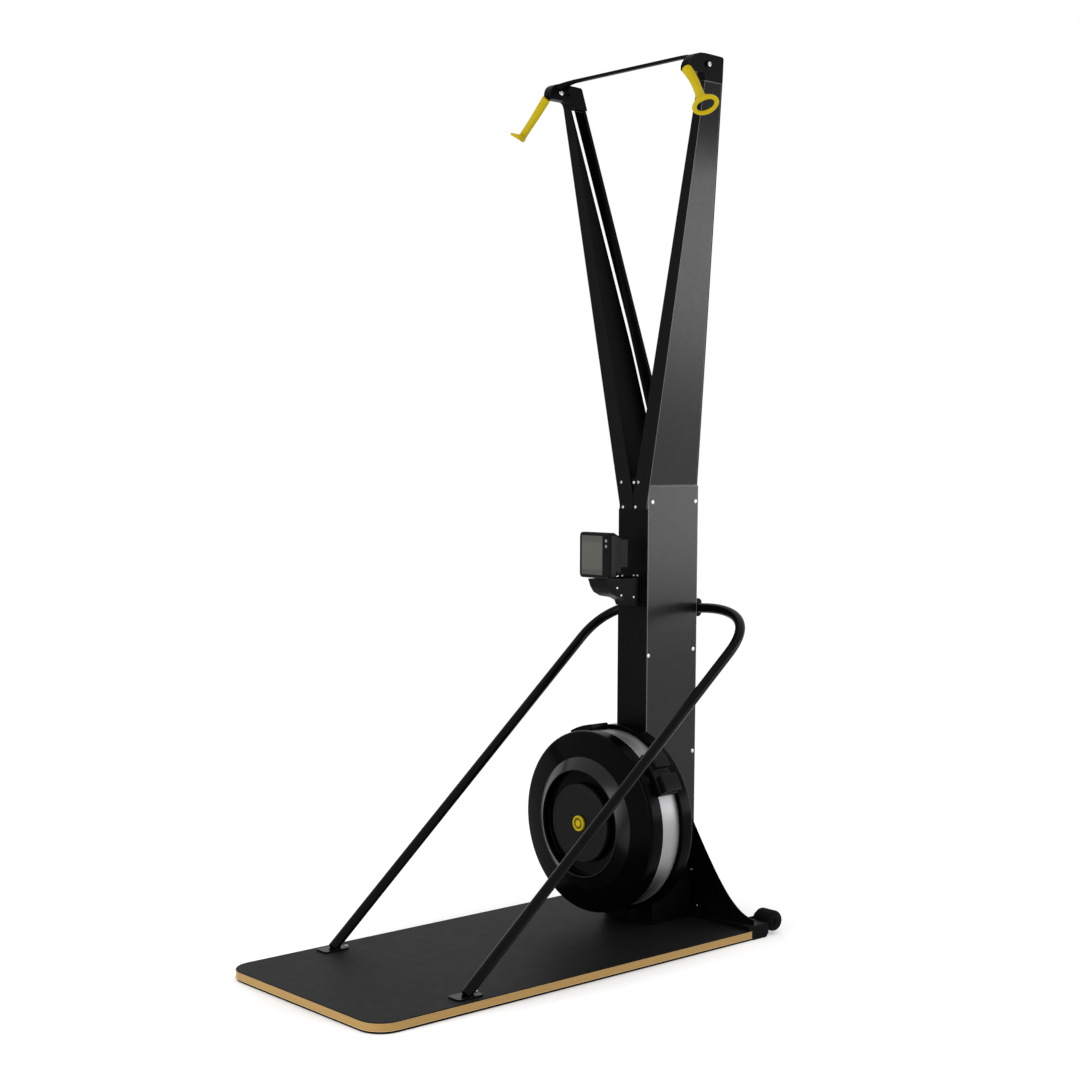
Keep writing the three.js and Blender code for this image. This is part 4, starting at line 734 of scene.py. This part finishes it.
def rail_route():
    cross_y = COLUMN_REAR_Y + RAIL_RADIUS + RAIL_GAP
    half = {}
    for s in (-1, 1):
        foot, bend = rail_point(s, RAIL_LOW_Z), rail_point(s, RAIL_BEND_Z)
        lift = bend + (bend - foot).normalized() * RAIL_BEND_PULL
        inner = Vector((s * RAIL_CROSS_HALF, cross_y, RAIL_CROSS_Z))
        turn = Vector((s * (RAIL_CROSS_HALF + RAIL_CROSS_PULL), cross_y, RAIL_CROSS_Z))
        half[s] = (foot, bend, lift, turn, inner)
    foot_left, bend_left, lift_left, turn_left, inner_left = half[-1]
    foot_right, bend_right, lift_right, turn_right, inner_right = half[1]
    left = cubic(bend_left, lift_left, turn_left, inner_left, 48)
    right = cubic(inner_right, turn_right, lift_right, bend_right, 48)
    return [foot_left, *left, *right, foot_right]


rail = tube("handrail_tube", rail_route(), RAIL_RADIUS, 40)
dress(rail, "frame", rail_coat, ("handrail",))
remade("handrail_clamp", "rail_clamp", "frame", black_coat, 0.001)

# Flywheel drum: each outline holds (radius, place along the axis)
RIM_RADIUS, RIM_BACK, RIM_FRONT = 235, -266.3, -306
SHOULDER_RADIUS, CREST_RADIUS, RECESS_RADIUS = 169.3, 139, 136
BAND_RADIUS, BAND_BACK, BAND_FRONT = 230, -204, -266
CASE_RADIUS, CASE_BACK = 242, -167
DISC_RADIUS, DISC_BACK = 102, -320
BADGE_RADIUS, BADGE_BACK = 20, -333.3
BORE_RADIUS, BORE_LIP_RADIUS = 17.3, 23
GROOVE_INNER, GROOVE_OUTER = 8.2, 15.2

front = lathe(
    "drum_face",
    [
        (RIM_RADIUS, RIM_BACK), (RIM_RADIUS, RIM_FRONT), (SHOULDER_RADIUS, -317), (SHOULDER_RADIUS, -314.1),
        (CREST_RADIUS, -333.1), (RECESS_RADIUS, -333.1), (RECESS_RADIUS, -316), (BORE_RADIUS, -316),
        (BORE_RADIUS, -307), (BORE_LIP_RADIUS, -307), (BORE_LIP_RADIUS, -313), (CREST_RADIUS, -313),
        (224, -300), (224, RIM_BACK),
    ],
    (1, 8, 0.8, 0.4, 0.4, 1.5, 3, 1, 0, 0, 1, 3, 3, 1), segments=220, steps=6,
)
dress(front, "frame", drum_plastic, ("drum_front_cover",))
ring = lathe(
    "drum_grey_ring",
    [(169, -317), (CREST_RADIUS, -336), (137, -336), (137, -334), (CREST_RADIUS, -334), (168, -315)],
    (1.0, 1.6, 0.6, 0.3, 0.3, 0.5), segments=220,
)
dress(ring, "frame", grey_satin, ("drum_bevel_ring",))
disc = lathe(
    "drum_centre_disc",
    [(0, DISC_BACK), (DISC_RADIUS, DISC_BACK), (DISC_RADIUS, -333), (96, -333.2), (94, -332.6), (0, -332.6)],
    (0, 2, 3, 0.5, 0.5, 0), segments=200,
)
dress(disc, "frame", disc_plastic, ("drum_hub_disc",))
badge = lathe(
    "hub_badge_ring",
    [
        (0, BADGE_BACK), (BADGE_RADIUS, BADGE_BACK), (BADGE_RADIUS, -339.3), (15.5, -339.3), (15, -337.2),
        (8.5, -337.2), (8, -339.0), (0, -339.0),
    ],
    (0, 0.5, 2.0, 0.8, 0.5, 0.5, 0.5, 0), segments=96,
)
dress(badge, "frame", yellow, ("hub_badge",))
# painted shade: the faces of the sunk ring get the darker ochre
badge.data.materials.append(badge_groove_shade)
for face in badge.data.polygons:
    reach = math.hypot(face.center.x * 1000, face.center.z * 1000 - AXIS_Z)
    if GROOVE_INNER < reach < GROOVE_OUTER and face.normal.y < -0.5:
        face.material_index = 1
band = lathe(
    "drum_silver_band",
    [(228, BAND_BACK), (BAND_RADIUS, BAND_BACK), (BAND_RADIUS, BAND_FRONT), (228, BAND_FRONT)],
    (0.4, 0.8, 0.8, 0.4), segments=240,
)
dress(band, "frame", band_metal, ("drum_band",))
rear = lathe(
    "drum_rear_case",
    [
        (BORE_RADIUS, CASE_BACK), (CASE_RADIUS, CASE_BACK), (CASE_RADIUS, -203.7), (227.7, -203.7),
        (227.7, BAND_FRONT), (224.7, BAND_FRONT), (224.7, -170), (BORE_LIP_RADIUS, -170),
        (BORE_LIP_RADIUS, -176), (BORE_RADIUS, -176),
    ],
    (0.5, 6, 2, 0, 0.5, 0.5, 2, 0, 0.5, 0.5), segments=220, steps=6,
)
dress(rear, "frame", drum_plastic, ("drum_rear_shell",))
remade("damper_housing", "damper_block", "frame", damper_plastic, 0.0022, 3, 40)
remade("damper_slider", "damper_lever", "damper_lever", damper_plastic, 0.0025, 3, 40)
remade("band_lock", "band_clamp", "frame", drum_plastic, 0.003, 3, 40)
remade("drum_backing_plate", "drum_mount", "frame", black_coat, 0.0012)
remade("drum_support", "drum_shelf", "frame", black_coat, 0.001)

# Monitor
remade("monitor_housing", "monitor_case", "monitor", case_plastic, 0.0012, 3)
remade("monitor_display", "monitor_screen", "monitor", screen_face, 0.0004)
for i, material in ((1, key_plastic), (2, key_plastic), (3, case_plastic)):
    remade(f"monitor_key_{i}", f"monitor_button_{i}", f"button_{i}", material, 0.0006, 3)
remade("monitor_arm", "monitor_bracket", "frame", black_coat, 0.0008)


# Handles
GRIP_TOP = Vector((250.3, -231.9, 2159.2))
GRIP_LINE = Vector((0.680, -0.174, -0.712)).normalized()
GRIP_HALF_WIDTH, GRIP_HALF_DEPTH = 12.4, 11.6
GRIP_THINNING = 0.16
FLARE_WIDTH, FLARE_DEPTH = 7.5, 1.0
HOOP_HALF_THICKNESS, HOOP_HALF_DEPTH, HOOP_ROOT_DEPTH = 5.8, 4.0, 6.0
HANDLE_VOXEL = 0.0009


def handle(name, side, route, centre, long, short, half_long, half_short, body, node):
    """A grip along a route that ends in a flat oval hoop, drawn on the right and mirrored by side."""
    route = [GRIP_TOP, *(Vector(point) for point in route)]
    centre, long = Vector(centre), Vector(long).normalized()
    short = (Vector(short) - long * long.dot(Vector(short))).normalized()
    normal = long.cross(short)
    corners, faces = [], []

    def ring_of(origin, u, v, a, b, count):
        first = len(corners)
        for k in range(count):
            angle = 2 * math.pi * k / count
            point = origin + u * math.cos(angle) * a + v * math.sin(angle) * b
            corners.append(at(side * point.x, point.y, point.z))
        return first

    def along(t):
        """A smooth curve through the route's points."""
        spot = t * (len(route) - 1)
        i = min(int(spot), len(route) - 2)
        f = spot - i
        p0, p1, p2, p3 = (route[max(0, min(len(route) - 1, i + k))] for k in (-1, 0, 1, 2))
        square = p0 * 2 - p1 * 5 + p2 * 4 - p3
        cube = p1 * 3 - p0 - p2 * 3 + p3
        return (p1 * 2 + (p2 - p0) * f + square * f * f + cube * f ** 3) / 2

    steps, sides = 48, 36
    starts = []
    for s in range(steps + 1):
        t = s / steps
        heading = (along(min(1, t + 0.02)) - along(max(0, t - 0.02))).normalized()
        heading = heading.lerp(GRIP_LINE, max(0, 1 - t * 8)).normalized()
        wide = (long - heading * heading.dot(long)).normalized()
        deep = heading.cross(wide)
        body_share = 1 - GRIP_THINNING * min(1, t / 0.5)
        flare = max(0, (t - 0.6) / 0.4) ** 2
        rim = min(1, 0.86 + 0.14 * math.sqrt(min(1, t / 0.02)))
        half_width = (GRIP_HALF_WIDTH * body_share + FLARE_WIDTH * flare) * rim
        half_depth = (GRIP_HALF_DEPTH * body_share - FLARE_DEPTH * flare) * rim
        starts.append(ring_of(along(t), wide, deep, half_width, half_depth, sides))
    for a, b in zip(starts, starts[1:]):
        faces.extend((a + k, a + (k + 1) % sides, b + (k + 1) % sides, b + k) for k in range(sides))
    faces.append(tuple(range(starts[0], starts[0] + sides)))
    faces.append(tuple(range(starts[-1], starts[-1] + sides)))
    around, across = 96, 24
    loops = []
    for a in range(around):
        angle = 2 * math.pi * a / around
        here = centre + long * math.cos(angle) * half_long + short * math.sin(angle) * half_short
        outward = (here - centre).normalized()
        nearness = (0.5 - 0.5 * math.sin(angle)) ** 1.4
        half_depth = HOOP_HALF_DEPTH + HOOP_ROOT_DEPTH * nearness
        loops.append(ring_of(here, outward, normal, HOOP_HALF_THICKNESS, half_depth, across))
    for a in range(around):
        p, q = loops[a], loops[(a + 1) % around]
        faces.extend((p + k, q + k, q + (k + 1) % across, p + (k + 1) % across) for k in range(across))
    obj = mesh_object(name, corners, faces)
    tidy_normals(obj)
    remesh = obj.modifiers.new("remesh", "REMESH")
    remesh.mode = "VOXEL"
    remesh.voxel_size = HANDLE_VOXEL
    even = obj.modifiers.new("even", "SMOOTH")
    even.factor = 0.5
    even.iterations = 10
    graph = bpy.context.evaluated_depsgraph_get()
    done = bpy.data.meshes.new_from_object(obj.evaluated_get(graph))
    obj.modifiers.clear()
    obj.data = done
    obj.data.shade_smooth()
    return dress(obj, body, yellow, (node,))


handle(
    "grip_right", 1,
    [
        (260.5, -229, 2145.5), (278, -232.5, 2125.7), (297.5, -240, 2101.4), (311, -245.5, 2084),
        (315.5, -247.5, 2079),
    ],
    (325.2, -243.3, 2063.0), (0.723, 0.592, 0.357), (-0.04, 0.62, -0.80), 27.3, 17.6,
    "handle_right", "handle_right",
)
handle(
    "grip_left", -1, [(287.6, -238.9, 2115.6), (323.7, -246, 2075.5), (329.5, -246.5, 2067.5)],
    (336.7, -254.8, 2071.5), (0.746, 0.644, 0.167), (0.569, -0.748, 0.342), 25, 15.5,
    "handle_left", "handle_left",
)

# Nodes that stay as they are, with their finish
for node, material in {
    "head_pulley_left": drum_plastic, "head_pulley_right": drum_plastic, "spool_left": dark_steel,
    "spool_right": dark_steel, "fan_rotor": drum_plastic, "fan_shaft": steel, "front_bearing": steel,
    "rear_bearing": steel, "monitor_pivot": steel,
}.items():
    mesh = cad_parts[node].data
    mesh.materials.clear()
    mesh.materials.append(material)


# Screws: a domed head with a hexagonal recess
ROUND, HEXAGON = 0, 6
SCREW_OUTLINE = [
    (1.0, 0.0, ROUND), (1.0, 0.35, ROUND), (0.94, 0.62, ROUND), (0.80, 0.86, ROUND), (0.60, 1.0, ROUND),
    (0.50, 1.0, HEXAGON), (0.48, 0.45, HEXAGON),
]


def screws(name, places, normal, radius, height):
    """Screw heads on the frame, at points in millimetres, standing along the normal."""
    direction = Vector(normal).normalized()
    side = direction.orthogonal().normalized()
    other = direction.cross(side)
    corners, faces = [], []
    sides = 24
    for place in places:
        base = at(*place)
        previous = None
        for share, rise, kind in SCREW_OUTLINE:
            first = len(corners)
            for k in range(sides):
                a = 2 * math.pi * k / sides
                reach = share
                if kind == HEXAGON:
                    wedge = (a % (math.pi / 3)) - math.pi / 6
                    reach = share * math.cos(math.pi / 6) / math.cos(wedge)
                offset = (side * math.cos(a) + other * math.sin(a)) * radius * reach
                corners.append(base + (offset + direction * height * rise) / 1000)
            if previous is not None:
                faces.extend(
                    (previous + k, previous + (k + 1) % sides, first + (k + 1) % sides, first + k)
                    for k in range(sides)
                )
            previous = first
        faces.append(tuple(range(previous, previous + sides)))
    obj = mesh_object(name, corners, faces)
    tidy_normals(obj)
    smooth(obj, 30)
    return dress(obj, "frame", steel)


# Places across the panel and the column's front as (Y, Z) and (X, Z), read 6 mm low
SCREW_LIFT = 6
PANEL_SCREWS = [(-133, 1116.6), (25, 1116.6), (-143.7, 721), (22.7, 727.7), (25, 455), (30, 140)]
ROOT_SCREWS = [(-43.6, 1166), (2.6, 1166), (19, 1167), (-37, 1102), (9, 1103)]
BRACKET_ROOT_SCREWS = [(-32, -155.3, 929.2), (10, -155.3, 932.2), (22.9, -155.3, 932.9)]
BRACKET_SIDE_SCREWS = [(34, -239, 905.6), (34, -224, 886), (34, -180, 879.7)]
HEAD_OUTER_X, HEAD_INNER_X, HEAD_INNER_Y = 265.6, 235.2, -194.6
BASE_SCREWS = [(-117, 107), (13, 50)]
RAIL_BOLT = (252.5, -884.5, 30.5)
FORWARDS = (0, -1, 0)

for side, sign in SIDES:
    places = [(sign * COLUMN_HALF_WIDTH, y, z + SCREW_LIFT) for y, z in PANEL_SCREWS]
    screws(f"panel_screws_{side}", places, (sign, 0, 0), 5.4, 2.0)
screws("root_screws", [(x, COLUMN_FRONT_Y, z + SCREW_LIFT) for x, z in ROOT_SCREWS], FORWARDS, 4.2, 1.8)
for side, sign in SIDES:
    outer = (sign * HEAD_OUTER_X, HEAD_AXLE_Y, HEAD_AXLE_Z)
    inner = (sign * HEAD_INNER_X, HEAD_INNER_Y, HEAD_AXLE_Z)
    screws(f"head_outer_bolt_{side}", [outer], (sign, 0, 0), 5.8, 2.2)
    screws(f"head_inner_bolt_{side}", [inner], (-sign, 0, ARM_LEAN), 6.8, 2.6)
screws("bracket_root_screws", BRACKET_ROOT_SCREWS, FORWARDS, 3.4, 2.0)
screws("bracket_side_screws", BRACKET_SIDE_SCREWS, (1, 0, 0), 3.2, 1.8)
for side, sign in SIDES:
    x, y, z = RAIL_BOLT
    screws(f"gusset_screw_{side}", [(sign * 66, GUSSET_Y, 144)], FORWARDS, 3.2, 1.8)
    base_places = [(sign * BASE_HALF_WIDTH, low_y, low_z) for low_y, low_z in BASE_SCREWS]
    screws(f"base_screws_{side}", base_places, (sign, 0, 0), 3.2, 1.8)
    screws(f"rail_foot_bolts_{side}", [(sign * x, y, z)], (0, 0, 1), 4.5, 2.4)


# Studio, in metres of the frame
AMBIENT = 0.85
FLOOR_HALF_SIZE = 30
# The floor glows less inside an ellipse under the board, so that the object keeps its shadow there
FLOOR_GLOW, FLOOR_GLOW_NEAR = 0.28, 0.10
NEAR_HALF_X, NEAR_HALF_Y, NEAR_CENTRE_Y = 0.30, 0.60, -0.55
NEAR_END_SHARE, FAR_START_SHARE = 1.0, 1.5


def shown_rays(tree):
    """1 for the rays that show the background, which are camera, glossy and transmission rays, else 0."""
    path = tree.nodes.new("ShaderNodeLightPath")
    shown = path.outputs["Is Camera Ray"]
    for ray in ("Is Glossy Ray", "Is Transmission Ray"):
        either = tree.nodes.new("ShaderNodeMath")
        either.operation = "MAXIMUM"
        tree.links.new(shown, either.inputs[0])
        tree.links.new(path.outputs[ray], either.inputs[1])
        shown = either.outputs["Value"]
    return shown


def make_floor():
    size = FLOOR_HALF_SIZE
    corners = [(-size, -size, 0), (size, -size, 0), (size, size, 0), (-size, size, 0)]
    floor = mesh_object("studio_floor", corners, [(0, 1, 2, 3)])
    paint = Paint("studio_floor")
    paint.colour(paint.ramp(paint.noise(0.6, 2, 0.5), (0.3, grey(0.88)), (0.7, grey(0.90))))
    paint.set(Roughness=0.9, Specular_IOR_Level=0.0)
    away = paint.node("ShaderNodeVectorMath", operation="LENGTH")
    ellipse = paint.stretched(
        (1 / NEAR_HALF_X, 1 / NEAR_HALF_Y, 1), move=(0, -NEAR_CENTRE_Y / NEAR_HALF_Y, 0),
    )
    paint.link(ellipse, away.inputs[0])
    rise = paint.node("ShaderNodeMapRange", interpolation_type="SMOOTHSTEP")
    rise.inputs["From Min"].default_value = NEAR_END_SHARE
    rise.inputs["From Max"].default_value = FAR_START_SHARE
    rise.inputs["To Min"].default_value = FLOOR_GLOW_NEAR
    rise.inputs["To Max"].default_value = FLOOR_GLOW
    paint.link(away.outputs["Value"], rise.inputs["Value"])
    glow = paint.node("ShaderNodeMath", operation="MULTIPLY")
    paint.link(rise.outputs["Result"], glow.inputs[1])
    paint.link(shown_rays(paint.tree), glow.inputs[0])
    paint.shader.inputs["Emission Color"].default_value = (1, 1, 1, 1)
    paint.link(glow.outputs["Value"], paint.shader.inputs["Emission Strength"])
    floor.data.materials.append(paint.material)


def make_world():
    world = bpy.data.worlds.new("studio")
    bpy.context.scene.world = world
    world.use_nodes = True
    tree = world.node_tree
    ambient = tree.nodes["Background"]
    ambient.inputs["Color"].default_value = (1, 1, 1, 1)
    ambient.inputs["Strength"].default_value = AMBIENT
    white = tree.nodes.new("ShaderNodeBackground")
    white.inputs["Color"].default_value = (1, 1, 1, 1)
    white.inputs["Strength"].default_value = 1.0
    mixer = tree.nodes.new("ShaderNodeMixShader")
    tree.links.new(shown_rays(tree), mixer.inputs["Fac"])
    tree.links.new(ambient.outputs["Background"], mixer.inputs[1])
    tree.links.new(white.outputs["Background"], mixer.inputs[2])
    tree.links.new(mixer.outputs["Shader"], tree.nodes["World Output"].inputs["Surface"])


def soft_box(name, place, target, width, height, radiance):
    """An area lamp that faces its target and that the camera doesn't see."""
    data = bpy.data.lights.new(name, "AREA")
    data.shape = "RECTANGLE"
    data.size, data.size_y = width, height
    data.energy = radiance * math.pi * width * height
    lamp = bpy.data.objects.new(name, data)
    bpy.context.scene.collection.objects.link(lamp)
    lamp.location = place
    lamp.visible_camera = False
    lamp.rotation_mode = "QUATERNION"
    lamp.rotation_quaternion = (Vector(target) - Vector(place)).to_track_quat("-Z", "Y")


make_floor()
make_world()
soft_box("back_box", (2.95, 2.9, 1.16), (0.1, 0, 1.1), 2.4, 1.1, 5.2)
soft_box("front_box", (0.4, -4.2, 1.3), (0, -0.3, 0.7), 1.6, 2.4, 4.2)
